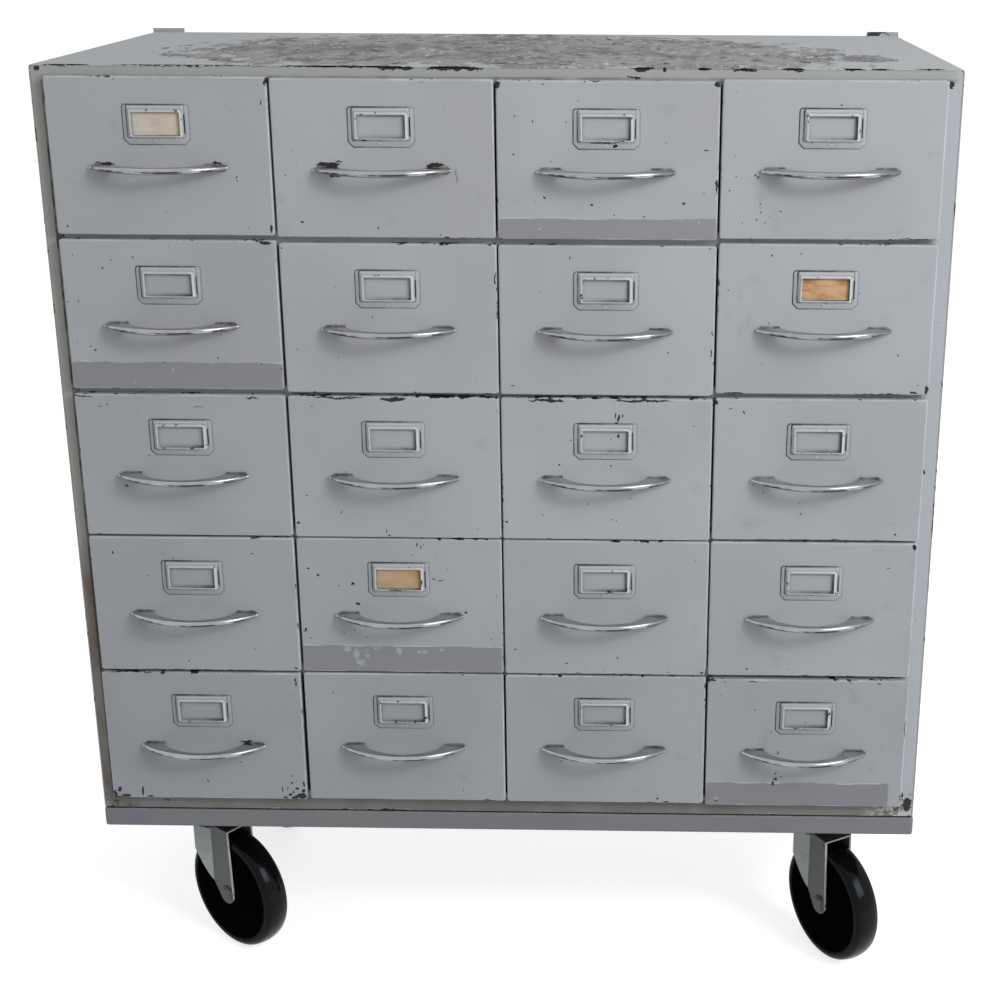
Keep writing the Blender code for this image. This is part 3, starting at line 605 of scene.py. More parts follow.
def inside_paint():
    """Thin grey paint inside the carcass and on the drawer bodies, rubbed where they run."""
    paint = start_paint("inside_paint", (5.9, 0.3, 6.1))
    jitter = paint.ragged(0.003, 240)
    paint.layer(paint.noise(30, 5, 0.6, stretch=(1, 0.12, 1)).fade(0.5, 0.72), BARE_STEEL, 0.4)
    paint.layer(paint.noise(12, 4).fade(0.52, 0.75), srgb(128, 126, 122), 0.55)
    chip(paint, paint.spots(30, 0.1, 0.09, jitter))
    return paint.finish()


def base_paint():
    """Newer blue-grey paint on the base board, over a faint wood grain."""
    low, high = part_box("base_board")
    centre, half = (low + high) / 2, (high - low) / 2
    paint = Surface("base_paint", srgb(122, 124, 129), 0.45, (1.9, 7.7, 3.3))
    paint.layer(paint.noise(7, 3).fade(0.42, 0.64), srgb(117, 119, 127))
    paint.layer(paint.noise(11, 2).fade(0.5, 0.7), srgb(124, 124, 125))
    grain = paint.noise(70, 4, 0.6, stretch=(0.06, 1, 1))
    paint.layer(grain, height=0.00008)
    paint.layer(paint.noise(600, 2), height=0.00002)
    edge = paint.edge(centre, half)
    worn = edge.fade(0.003, 0.0008) * paint.noise(26, 4).fade(0.54, 0.7)
    paint.layer(worn * 0.6, srgb(150, 152, 155), 0.5)
    jitter = paint.ragged(0.003, 300)
    paint.layer(paint.spots(30, 0.06, 0.06, jitter), srgb(70, 70, 72), MATT, -0.0001)
    return paint.finish(Specular_IOR_Level=0.3)


def joint_shade_black():
    """Black strip in the joint between carcass and base board, a dark piece put there as painted shade."""
    strip = Surface("joint_shade_black", srgb(16, 16, 17), 0.75)
    strip.layer(strip.noise(60, 4).fade(0.5, 0.75), srgb(26, 25, 24))
    return strip.finish(Specular_IOR_Level=0.1)


def chrome_plate():
    """Old chrome: dulled in clouds, with painted light: a paler upper side, a darker underside and a dark
    reflected band along its face; pits towards the feet.
    """
    metal = Surface("chrome_worn_with_painted_sheen", srgb(164, 165, 167), 0.16)
    jitter = metal.ragged(0.0016, 500)
    dull = metal.noise(45, 4, 0.6, stretch=(0.5, 1, 1)).fade(0.4, 0.68)
    metal.layer(dull, srgb(138, 138, 139), 0.26)
    # Painted highlight: the upper side paler
    upper = metal.z.fade(0.002, 0.0031) * metal.noise(50, 4).scaled(0.3, 0.7, 0.5, 1)
    metal.layer(upper, srgb(196, 196, 197), 0.22)
    # Painted shade on the underside
    under = metal.z.fade(-0.0024, -0.0032)
    metal.layer(under, srgb(96, 95, 94), 0.34)
    # Painted reflection: a broken dark band along the face
    painted_reflection_band = (metal.z.fade(-0.0024, -0.0016) * metal.z.fade(0.0006, -0.0006) * abs(metal.x).fade(0.064, 0.054)
              * metal.noise(60, 4, 0.6, stretch=(0.3, 1, 1.4)).fade(0.38, 0.52))
    metal.layer(painted_reflection_band, srgb(52, 50, 49), 0.34)
    out = abs(metal.x).fade(0.03, 0.06)
    pits = metal.spots(260, 0.22, 0.28, jitter) * out.scaled(0, 1, 0.15, 0.9)
    metal.layer(pits, srgb(92, 88, 84), 0.5, -0.0001)
    seat = metal.y.fade(-0.0012, -0.0004) * metal.noise(120, 3).fade(0.36, 0.56)
    metal.layer(seat, srgb(54, 52, 50), MATT)
    metal.layer(metal.noise(90, 2), height=0.00008)
    return metal.finish(Metallic=1)


def caster_metal(name, colour, darker, wing=None):
    """Plated and handled steel of the casters; on the forks, painted light and shade: wings paler than the
    legs, a painted highlight on the trailing edges, painted shade on the crown and round the axle head.
    """
    metal = Surface(name, colour, 0.48, (0.6, 0.2, 0.9))
    if wing:
        fold = LEG_TRAILING - LEG_WIDTH
        # Painted light and shade: the wing pale, the leg left dark
        metal.layer(metal.x.fade(fold + 0.0006, fold - 0.0012), wing, 0.42)
        # Painted highlight along the legs' trailing edges
        slope = LEG_LEAN / (CROWN_TOP - WHEEL_RADIUS + LEG_END_DROP)
        rim = metal.x + (metal.z - (WHEEL_RADIUS - LEG_END_DROP)) * slope
        metal.layer(rim.fade(LEG_TRAILING - 0.001, LEG_TRAILING - 0.0003), srgb(200, 203, 202), 0.34)
        # Painted shade on the crown's top, under the base board
        metal.layer(metal.z.fade(CROWN_TOP - 0.0012, CROWN_TOP - 0.0004), srgb(58, 58, 59))
        # Painted shadow round the axle head
        arm = metal.vector("SUBTRACT", metal.point, (CASTER_TRAIL, 0, WHEEL_RADIUS))
        gap = abs(metal.length(metal.vector("MULTIPLY", arm, (1, 0, 1))) - AXLE_HEAD_RADIUS)
        uneven = metal.noise(90, 3).scaled(0.4, 0.6, 0.35, 1)
        metal.layer(gap.fade(0.0014, 0.0005) * uneven, srgb(42, 42, 42), MATT)
    metal.layer(metal.noise(30, 4, 0.6).fade(0.46, 0.74) * 0.4, darker, 0.54)
    metal.layer(metal.noise(160, 5, 0.65).fade(0.66, 0.76) * 0.5, srgb(96, 97, 96), MATT)
    metal.layer(metal.noise(420, 2), height=0.00003)
    return metal.finish(Specular_IOR_Level=0.35)


def tyre_black():
    """Glossy black moulded wheel with fine rings from turning."""
    tyre = Surface("black_tyre", srgb(8, 8, 9), 0.13)
    radius = tyre.length(tyre.vector("MULTIPLY", tyre.point, (1, 1, 0)))
    rings = tyre.math("SINE", radius * 5200)
    tyre.layer(rings, height=0.000002)
    tyre.layer(tyre.noise(40, 4).fade(0.48, 0.75), srgb(12, 12, 14), 0.18)
    tyre.layer(tyre.noise(500, 2), height=0.00001)
    tyre.feed(tyre.shader.inputs["Specular IOR Level"], radius.scaled(0.062, 0.074, 0, 0.15))
    return tyre.finish(Specular_Tint=(0.8, 0.88, 1, 1))


def paper(name, colour, stain, strength, bleached, shift):
    """An aged paper card, with fibres and stains."""
    card = Surface(name, colour, 0.85, shift)
    blot = card.noise(55, 5, 0.6, stretch=(0.45, 1, 1)).fade(0.4, 0.62)
    card.layer(blot * strength, stain)
    card.layer(card.x.scaled(0.022, -0.022, 0, bleached), srgb(206, 203, 196))
    card.layer(card.noise(900, 3, 0.6).fade(0.52, 0.72), card.mix(0.5, colour, srgb(150, 128, 104)))
    card.layer(card.noise(1200, 2), height=0.00003)
    return card.finish()


def new_piece(name, bm, materials, matrix=Matrix.Identity(4), sharp=32.0):
    """Turn a bmesh into a piece with smooth shading and sharp folds."""
    bmesh.ops.recalc_face_normals(bm, faces=bm.faces[:])
    mesh = bpy.data.meshes.new(name)
    bm.to_mesh(mesh)
    bm.free()
    return place_piece(name, mesh, materials, matrix, sharp)


def place_piece(name, mesh, materials, matrix, sharp=32.0):
    """Put a mesh in the scene with its materials."""
    for material in materials:
        mesh.materials.append(material)
    mesh.shade_smooth()
    mesh.set_sharp_from_angle(angle=math.radians(sharp))
    piece = bpy.data.objects.new(name, mesh)
    bpy.context.scene.collection.objects.link(piece)
    piece.matrix_world = matrix
    return piece


def soften(piece, width, segments=2, angle=40.0):
    """Round a piece's sharp edges."""
    modifier = piece.modifiers.new("soft_edges", "BEVEL")
    modifier.width = width
    modifier.segments = segments
    modifier.limit_method = "ANGLE"
    modifier.angle_limit = math.radians(angle)
    modifier.harden_normals = True
    return piece


def loft(bm, rings, ring_around=False, finish=0):
    """Skin a row of loops with equal numbers of points; the ends are closed or joined to each other."""
    loops = [[bm.verts.new(point) for point in ring] for ring in rings]
    pairs = list(zip(loops, loops[1:]))
    faces = []
    if ring_around:
        pairs.append((loops[-1], loops[0]))
    else:
        faces += [bm.faces.new(loops[0]), bm.faces.new(loops[-1])]
    for near, far in pairs:
        for here, there in zip(range(len(near)), [*range(1, len(near)), 0]):
            faces.append(bm.faces.new((near[here], near[there], far[there], far[here])))
    for face in faces:
        face.material_index = finish
    return faces


def arc(centre, radius, start, end, steps):
    """Points along an arc, with its angles in degrees."""
    angles = [math.radians(start + (end - start) * step / steps) for step in range(steps + 1)]
    return [(centre[0] + radius * math.cos(a), centre[1] + radius * math.sin(a)) for a in angles]


def ring(low_x, high_x, low_z, high_z, corner, y, top_y=None, steps=5):
    """A rounded rectangle across y, which may lean from y at its foot to top_y at its head."""
    points = []
    corner = max(corner, 0.00005)
    lean = 0.0 if top_y is None else (top_y - y) / (high_z - low_z)
    for x, z, start in ((high_x - corner, high_z - corner, 0), (low_x + corner, high_z - corner, 90),
                        (low_x + corner, low_z + corner, 180), (high_x - corner, low_z + corner, 270)):
        points += arc((x, z), corner, start, start + 90, steps)
    return [(x, y + lean * (z - low_z), z) for x, z in points]


def inset_ring(width, height, middle, corner, inset, y):
    """A rounded rectangle about x = 0 drawn in by an inset."""
    half_x, half_z = width / 2 - inset, height / 2 - inset
    return ring(-half_x, half_x, middle - half_z, middle + half_z, corner - inset, y)


def rounded_path(points, radius, segments):
    """Replace each inner corner of an open path with an arc."""
    path = [Vector(points[0])]
    for before, corner, after in zip(points, points[1:], points[2:]):
        corner = Vector(corner)
        back = (Vector(before) - corner).normalized()
        ahead = (Vector(after) - corner).normalized()
        half = back.angle(ahead) / 2
        centre = corner + (back + ahead).normalized() * radius / math.sin(half)
        start = corner + back * radius / math.tan(half) - centre
        end = corner + ahead * radius / math.tan(half) - centre
        turn = -start.angle_signed(end)
        path += [centre + Matrix.Rotation(turn * step / segments, 2) @ start
                 for step in range(segments + 1)]
    return path + [Vector(points[-1])]


def sheet_outline(path, thickness):
    """Close an open path into a strip of sheet that lies on the right of the path."""
    rights = [Vector((b.y - a.y, a.x - b.x)).normalized() for a, b in zip(path, path[1:])]
    far = [path[0] + rights[0] * thickness]
    far += [point + (r + s) * thickness / (1 + r.dot(s))
            for point, r, s in zip(path[1:], rights, rights[1:])]
    far.append(path[-1] + rights[-1] * thickness)
    return [tuple(point) for point in path + far[::-1]]


def lathe(bm, profile, segments, matrix=Matrix.Identity(4), finish=0):
    """A closed profile of (radius, height) points turned once round Z."""
    rings = []
    for step in range(segments):
        turn = 2 * math.pi * step / segments
        rings.append([matrix @ Vector((radius * math.cos(turn), radius * math.sin(turn), height))
                      for radius, height in profile])
    return loft(bm, rings, ring_around=True, finish=finish)


def front_pan(bm):
    """A pressed drawer front with rolled edges, hollow behind."""
    def at(inset, y):
        return inset_ring(FRONT_WIDTH, FRONT_HEIGHT, 0.0, FRONT_CORNER, inset, y)

    inner_face = -FRONT_PROUD + DRAWER_SHEET
    shell = [at(DRAWER_SHEET + 0.0008, inner_face), at(DRAWER_SHEET, inner_face + 0.0008),
             at(DRAWER_SHEET, -FRONT_CLEARANCE), at(0.0, -FRONT_CLEARANCE)]
    for step in range(6):
        angle = math.radians(90 * step / 5)
        shell.append(at(FRONT_ROUND * (1 - math.cos(angle)),
                        -FRONT_PROUD + FRONT_ROUND * (1 - math.sin(angle))))
    shell.append(at(FRONT_ROUND + 0.0006, -FRONT_PROUD))
    loft(bm, shell)


def plate_ring(inset, y):
    """The label plate's outline, with round upper corners and lower ones cut off."""
    half, round_corner = HOLDER_WIDTH / 2 - inset, PLATE_ROUND - inset
    low, high, chamfer = HOLDER_BOTTOM + inset, HOLDER_TOP - inset, HOLDER_CORNER - 0.4 * inset
    points = arc((half - round_corner, high - round_corner), round_corner, 0, 90, 5)
    points += arc((round_corner - half, high - round_corner), round_corner, 90, 180, 5)
    points += [(-half + chamfer * k / 5, low + chamfer * (1 - k / 5)) for k in range(6)]
    points += [(half - chamfer * (1 - k / 5), low + chamfer * k / 5) for k in range(6)]
    return [(FITTING_SHIFT + x, y, z) for x, z in points]


def label_holder(bm):
    """The plate, the raised frame round the card window, the slot's turned edge and a pressed dimple."""
    face = -FRONT_PROUD
    plate = face - HOLDER_PLATE
    proud = plate - HOLDER_RAISE
    lip = proud - LIP_RAISE
    side = WINDOW_WIDTH / 2

    def span(left, right, low, high, corner, y):
        return ring(FITTING_SHIFT - left, FITTING_SHIFT + right, low, high, corner, y)

    window = [span(side, side, WINDOW_BOTTOM, WINDOW_TOP, 0.0008, y) for y in (plate, face + 0.0004)]
    loft(bm, [plate_ring(0.0, face + 0.0004), plate_ring(0.0, face - 0.0003),
              plate_ring(0.0002, plate + 0.0003), plate_ring(0.0008, plate), *window], ring_around=True)
    half, top, sill = HOLDER_FRAME_WIDTH / 2, HOLDER_FRAME_TOP, HOLDER_FRAME_BOTTOM
    frame_box, sash_box = (half, half, sill, top), (half, half, sill, WINDOW_TOP)
    opening = (side, side, WINDOW_BOTTOM, WINDOW_TOP)
    # A box, how far its four sides move, a corner, a level and how far that moves, in tenths of a millimetre
    steps = ((frame_box, (18, 3, -6, 4), 20, plate, 3), (frame_box, (14, 0, -3, 1), 18, plate, -2),
             (frame_box, (-2, -5, 0, -3), 16, proud, 9), (frame_box, (-10, -9, 3, -7), 14, proud, 1),
             (frame_box, (-15, -12, 5, -12), 12, proud, -1), (sash_box, (-18, -14, 6, 36), 12, proud, -1),
             (sash_box, (-19, -15, 6, 31), 12, proud, 3), (sash_box, (-21, -16, 7, 26), 12, proud, -4),
             (sash_box, (-25, -19, 9, 20), 11, lip, 0), (opening, (7, 6, -4, 7), 10, lip, 0),
             (opening, (2, 1, -1, 1), 8, lip, 4), (opening, (0, 0, 0, 0), 8, lip, 10),
             (opening, (0, 0, 0, 0), 8, plate, 3))
    loft(bm, [span(*(place + move / 10000 for place, move in zip(box, moves)), corner / 10000, y + out / 10000)
              for box, moves, corner, y, out in steps], ring_around=True)
    middle, reach = (SLOT_LOW + SLOT_HIGH) / 2, (SLOT_HIGH - SLOT_LOW) / 2
    loft(bm, [ring(FITTING_SHIFT + SLOT_X + 0.0007 + inset, FITTING_SHIFT + SLOT_X + 0.0028 - inset,
                   middle - reach + inset, middle + reach - inset, 0.0008 - inset, y)
              for inset, y in ((0.0, plate + 0.0003), (0.0001, plate - 0.0005), (0.0004, plate - 0.0009),
                               (0.0007, plate - 0.0010))])
    x, z = DIMPLE_PLACE
    loft(bm, [[(x + DIMPLE_WIDE * size * math.cos(turn), y, z + DIMPLE_HIGH * size * math.sin(turn))
               for turn in (2 * math.pi * k / 24 for k in range(24))]
              for size, y in ((1.12, plate + 0.0003), (1.02, plate - 0.0003), (0.90, plate - 0.0006),
                              (0.74, plate - 0.0005), (0.50, plate - 0.0001), (0.25, plate - 0.00005))])


def drawer_body(bm, hang):
    """Floor, sides and rim flanges folded from one sheet, and a back wall; only the front hangs out of true."""
    inner = BODY_HALF_WIDTH - DRAWER_SHEET
    rim = BODY_HALF_WIDTH + RIM_FLANGE
    floor = -BODY_HALF_HEIGHT + DRAWER_SHEET
    corners = [(-rim, BODY_HALF_HEIGHT), (-inner, BODY_HALF_HEIGHT), (-inner, floor), (inner, floor),
               (inner, BODY_HALF_HEIGHT), (rim, BODY_HALF_HEIGHT)]
    outline = sheet_outline(rounded_path(corners, BODY_BEND, 4), DRAWER_SHEET)
    front, back = -FRONT_PROUD + DRAWER_SHEET / 2, -FRONT_PROUD + BODY_DEPTH
    faces = loft(bm, [[(x, y, z) for x, z in outline] for y in (front, back)], finish=1)
    wall = [inset_ring(2 * BODY_HALF_WIDTH - DRAWER_SHEET, 2 * BODY_HALF_HEIGHT - DRAWER_SHEET / 2,
                       DRAWER_SHEET / 4, 0.003, inset, y)
            for inset, y in ((0.0002, back - DRAWER_SHEET), (0.0, back - 0.0008), (0.0, back - 0.0002),
                             (0.0002, back))]
    faces += loft(bm, wall, finish=1)
    for vert in {vert for face in faces for vert in face.verts}:
        vert.co -= hang


def handle_section(outer, inner, half_height, inner_round):
    """One slice of the handle from the outside of the bow to the grip or the foot's seat."""
    outer, inner = Vector(outer), Vector(inner)
    length = (inner - outer).length
    along = (inner - outer) / length
    nose = min(half_height, length / 2)
    inner_round = min(inner_round, half_height, length / 2)
    slice_points = [(nose - nose * math.cos(a), half_height * math.sin(a))
                    for a in (math.radians(-90 + 22.5 * k) for k in range(9))]
    run = length - inner_round - nose
    slice_points += [(nose + run * k / 3, half_height) for k in (1, 2)]
    for side, angles in ((1, (90, 60, 30, 0)), (-1, (0, -30, -60, -90))):
        slice_points += [(length - inner_round + inner_round * math.cos(math.radians(a)),
                          side * (half_height - inner_round) + inner_round * math.sin(math.radians(a)))
                         for a in angles]
    slice_points += [(nose + run * k / 3, -half_height) for k in (2, 1)]
    return [(outer.x + along.x * s, outer.y + along.y * s, z) for s, z in slice_points]


def handle_mesh(bm):
    """A cast bow handle: a round bar that thickens into wedge feet with blunt tips."""
    half = HANDLE_LENGTH / 2
    rise = HANDLE_PROJECTION - HANDLE_TIP_DEPTH
    radius = (half ** 2 + rise ** 2) / (2 * rise)
    depth = HANDLE_PROJECTION - HANDLE_BAR
    slim = 1 - HANDLE_TIP_HEIGHT / HANDLE_HEIGHT

    def bow(x):
        return x, radius - HANDLE_PROJECTION - math.sqrt(radius ** 2 - x ** 2)

    def height(x):
        return HANDLE_HEIGHT / 2 * (1 - slim * (x / half) ** 3)

    stations = []
    for step in range(15):
        angle = math.pi / 2 * (1 - step / 14)
        grip_x = FOOT_INNER * math.cos(angle) ** (2 / GRIP_POWER) if step else 0.0
        grip_y = -depth * math.sin(angle) ** (2 / GRIP_POWER) if step < 14 else 0.0
        x = grip_x * (1 + 0.10 * (grip_x / FOOT_INNER) ** 3)
        soft = HANDLE_HEIGHT * (1 - (grip_x / FOOT_INNER) ** 4) / 2
        stations.append((bow(x), (grip_x, grip_y - SEAT_GAP), height(x), max(soft, FOOT_EDGE)))
    start = FOOT_INNER * 1.10
    for step in range(1, 9):
        share = step / 8
        x = start + (half - start) * share
        seat = FOOT_INNER + (FOOT_OUTER - FOOT_INNER) * share
        stations.append((bow(x), (seat, -SEAT_GAP), height(x), FOOT_EDGE))
    rings = [handle_section(*station) for station in stations]
    tip = rings[-1]
    middle = sum((Vector(point) for point in tip), Vector()) / len(tip)
    for shrink, out in ((0.96, 0.0004), (0.84, 0.0008), (0.60, 0.0011), (0.28, 0.0013)):
        rings.append([tuple(middle + (Vector(point) - middle) * shrink + Vector((out, 0.0, 0.0)))
                      for point in tip])
    left = [[(-x, y, z) for x, y, z in points] for points in rings[:0:-1]]
    loft(bm, left + rings)


def wheel_mesh(bm):
    """A solid wheel about local Z with a shallow web, a low hub and a rounded tread."""
    half, crown, flat = WHEEL_WIDTH / 2, TREAD_CROWN, TREAD_FLAT
    tilt = math.asin(flat / crown)
    corner = (half - flat) / (1 - math.sin(tilt))
    middle = (WHEEL_RADIUS - crown + (crown - corner) * math.cos(tilt), half - corner)
    shoulder = arc(middle, corner, 90, math.degrees(tilt), 12)
    shoulder += arc((WHEEL_RADIUS - crown, 0.0), crown, math.degrees(tilt), 0, 8)[1:-1]
    upper = [(AXLE_BORE, half + HUB_PROUD - 0.0006), (AXLE_BORE + 0.0006, half + HUB_PROUD),
             (HUB_RADIUS - 0.0008, half + HUB_PROUD), (HUB_RADIUS, half + HUB_PROUD - 0.0004),
             (HUB_RADIUS + 0.0012, half - WEB_RECESS + 0.0006),
             (HUB_RADIUS + 0.0020, half - WEB_RECESS), (WEB_RADIUS - 0.001, half - WEB_RECESS),
             (WEB_RADIUS + 0.0008, half - WEB_RECESS + 0.0003), (WEB_RADIUS + 0.0028, half - 0.0003),
             (WEB_RADIUS + 0.0040, half), *shoulder]
    lathe(bm, upper + [(radius, -height) for radius, height in upper[::-1]], 128)


def fork_leg(bm, side):
    """One leg with its round end about the axle, bent outwards into the leading wing."""
    end = Vector((CASTER_TRAIL - LEG_END_SETBACK, WHEEL_RADIUS - LEG_END_DROP))
    fold = LEG_TRAILING - LEG_WIDTH
    reach = Vector((fold, LEG_TAPER)) - end
    sweep = 360 - math.degrees(math.atan2(reach.y, reach.x) + math.acos(LEG_END_RADIUS / reach.length))
    columns = []
    for x, z in arc(end, LEG_END_RADIUS, 0, -sweep, 24):
        lean = LEG_LEAN * (x - fold) / LEG_WIDTH
        columns.append((x, 0.0, z, 0.0, lean))
    last_x, _, last_z, _, _ = columns[-1]
    for share in (0.33, 0.66):
        x = last_x + (fold - last_x) * share
        columns.append((x, 0.0, last_z + (LEG_TAPER - last_z) * share, 0.0, LEG_LEAN * (x - fold) / LEG_WIDTH))
    for step in range(17):
        share = step / 16
        out = WING_WIDTH * share
        bend = WING_FLARE * min(1.0, out / 0.003)
        columns.append((fold - out * math.cos(bend), out * math.sin(bend),
                        LEG_TAPER + WING_RISE * share ** WING_CURVE, bend, 0.0))
    rings = []
    for x, out, low, bend, lean in columns:
        near = Vector((x, side * (LEG_INNER + out)))
        far = near + Vector((math.sin(bend), side * math.cos(bend))) * FORK_SHEET
        rings.append([(near.x, near.y, low), (far.x, far.y, low), (far.x - lean, far.y, CROWN_TOP),
                      (near.x - lean, near.y, CROWN_TOP)])
    loft(bm, rings)
    pin = Matrix.Translation((LEG_TRAILING - LEG_LEAN - 0.0052, side * (LEG_INNER + FORK_SHEET),
                              CROWN_BOTTOM - 0.0046))
    lathe(bm, [(0.0001, -0.0005), (0.0019, -0.0005), (0.0018, 0.0003), (0.0011, 0.0008), (0.0001, 0.0009)], 20,
          pin @ Matrix.Rotation(-side * math.pi / 2, 4, "X"))


def fork_mesh(bm):
    """Crown, swivel head, two legs and the axle bolt, about the swivel axis with local Z up."""
    outer = LEG_INNER + FORK_SHEET
    back = LEG_TRAILING - LEG_LEAN
    side = math.degrees(math.asin((outer - 0.0002) / CROWN_RADIUS))
    crown = arc((0.0, 0.0), CROWN_RADIUS, side, 360 - side, 32)
    crown += [(back, -outer + 0.0002), (back, outer - 0.0002)]
    loft(bm, [[(x, y, z) for x, y in crown] for z in (CROWN_BOTTOM, CROWN_TOP - 0.0001)])
    for leg_side in (1, -1):
        fork_leg(bm, leg_side)
    lathe(bm, [(KINGPIN_BORE, CROWN_TOP - 0.001), (HEAD_RADIUS, CROWN_TOP - 0.001),
               (HEAD_RADIUS, HEAD_TOP - 0.006), (HEAD_RADIUS - 0.0012, HEAD_TOP - 0.005),
               (HEAD_RADIUS - 0.0012, HEAD_TOP - 0.004), (HEAD_RADIUS, HEAD_TOP - 0.003),
               (HEAD_RADIUS, HEAD_TOP - 0.0006), (HEAD_RADIUS - 0.0006, HEAD_TOP),
               (KINGPIN_BORE, HEAD_TOP)], 48)
    lay = Matrix.Translation((CASTER_TRAIL, 0.0, WHEEL_RADIUS)) @ Matrix.Rotation(math.pi / 2, 4, "X")
    head = AXLE_HEAD_RADIUS
    half = [(AXLE_RADIUS, outer - 0.001), (head, outer - 0.001), (head, outer + 0.0008),
            (head - 0.0006, outer + 0.0014), (head - 0.0022, outer + 0.0016),
            (head - 0.0026, outer + 0.0040), (head - 0.0034, outer + 0.0047), (0.0001, outer + 0.0050)]
    lathe(bm, half[::-1] + [(radius, -height) for radius, height in half], 32, lay)


def hex_bolt(bm, centre, across, height):
    """A bolt head that hangs under a plate, with a washer above it."""
    x, y, z = centre
    lathe(bm, [(0.0001, -height), (across * 0.44, -height), (across / 2, -height * 0.82), (across / 2, -0.001),
               (0.0001, -0.001)], 6, Matrix.Translation((x, y, z)))
    lathe(bm, [(0.0001, -0.0012), (across * 0.72, -0.0012), (across * 0.74, -0.0009), (across * 0.74, 0.0004),
               (0.0001, 0.0004)], 32, Matrix.Translation((x, y, z)))


# How far each front hangs out of true, in millimetres: across and up
HANG = {
    1: ((0, 0.8), (0, -0.45), (0, -1.1), (0, 0.9)),
    2: ((0, 1.2), (0.5, -1.05), (0, -1.55), (0, 1.5)),
    3: ((0, 0), (0.6, -0.5), (0, -0.6), (0, 0.9)),
    4: ((0, -0.35), (0.5, 0), (0, -0.2), (-0.6, 0.4)),
    5: ((-1.5, -0.4), (0, 0.8), (0, 0.6), (0, -1.2)),
}

# Fronts with an older, darker coat low down: its upper edge in millimetres, and where it ends across the front
BANDS = {(1, 3): (-58.5, 1.1), (2, 1): (-51.0, 1.1), (4, 2): (-48.5, 1.1), (5, 4): (-50.5, 0.93)}

# Where the older coat has flaked off
PEELS = {
    (4, 2): [(-47, -60, 10, 14), (-4, -55, 4, 5), (-28, -52, 5, 3), (22, -55, 7, 3), (-62, -53, 5, 4),
             (44, -53, 8, 2)],
}

# How badly the upper edges of some fronts are chipped; the rest are little worn
TOP_WEAR = {(1, 4): 0.06, (2, 1): 0.17, (2, 2): 0.17, (3, 1): 0.17, (3, 2): 0.22, (3, 3): 0.21, (5, 1): 0.1,
            (5, 4): 0.17}

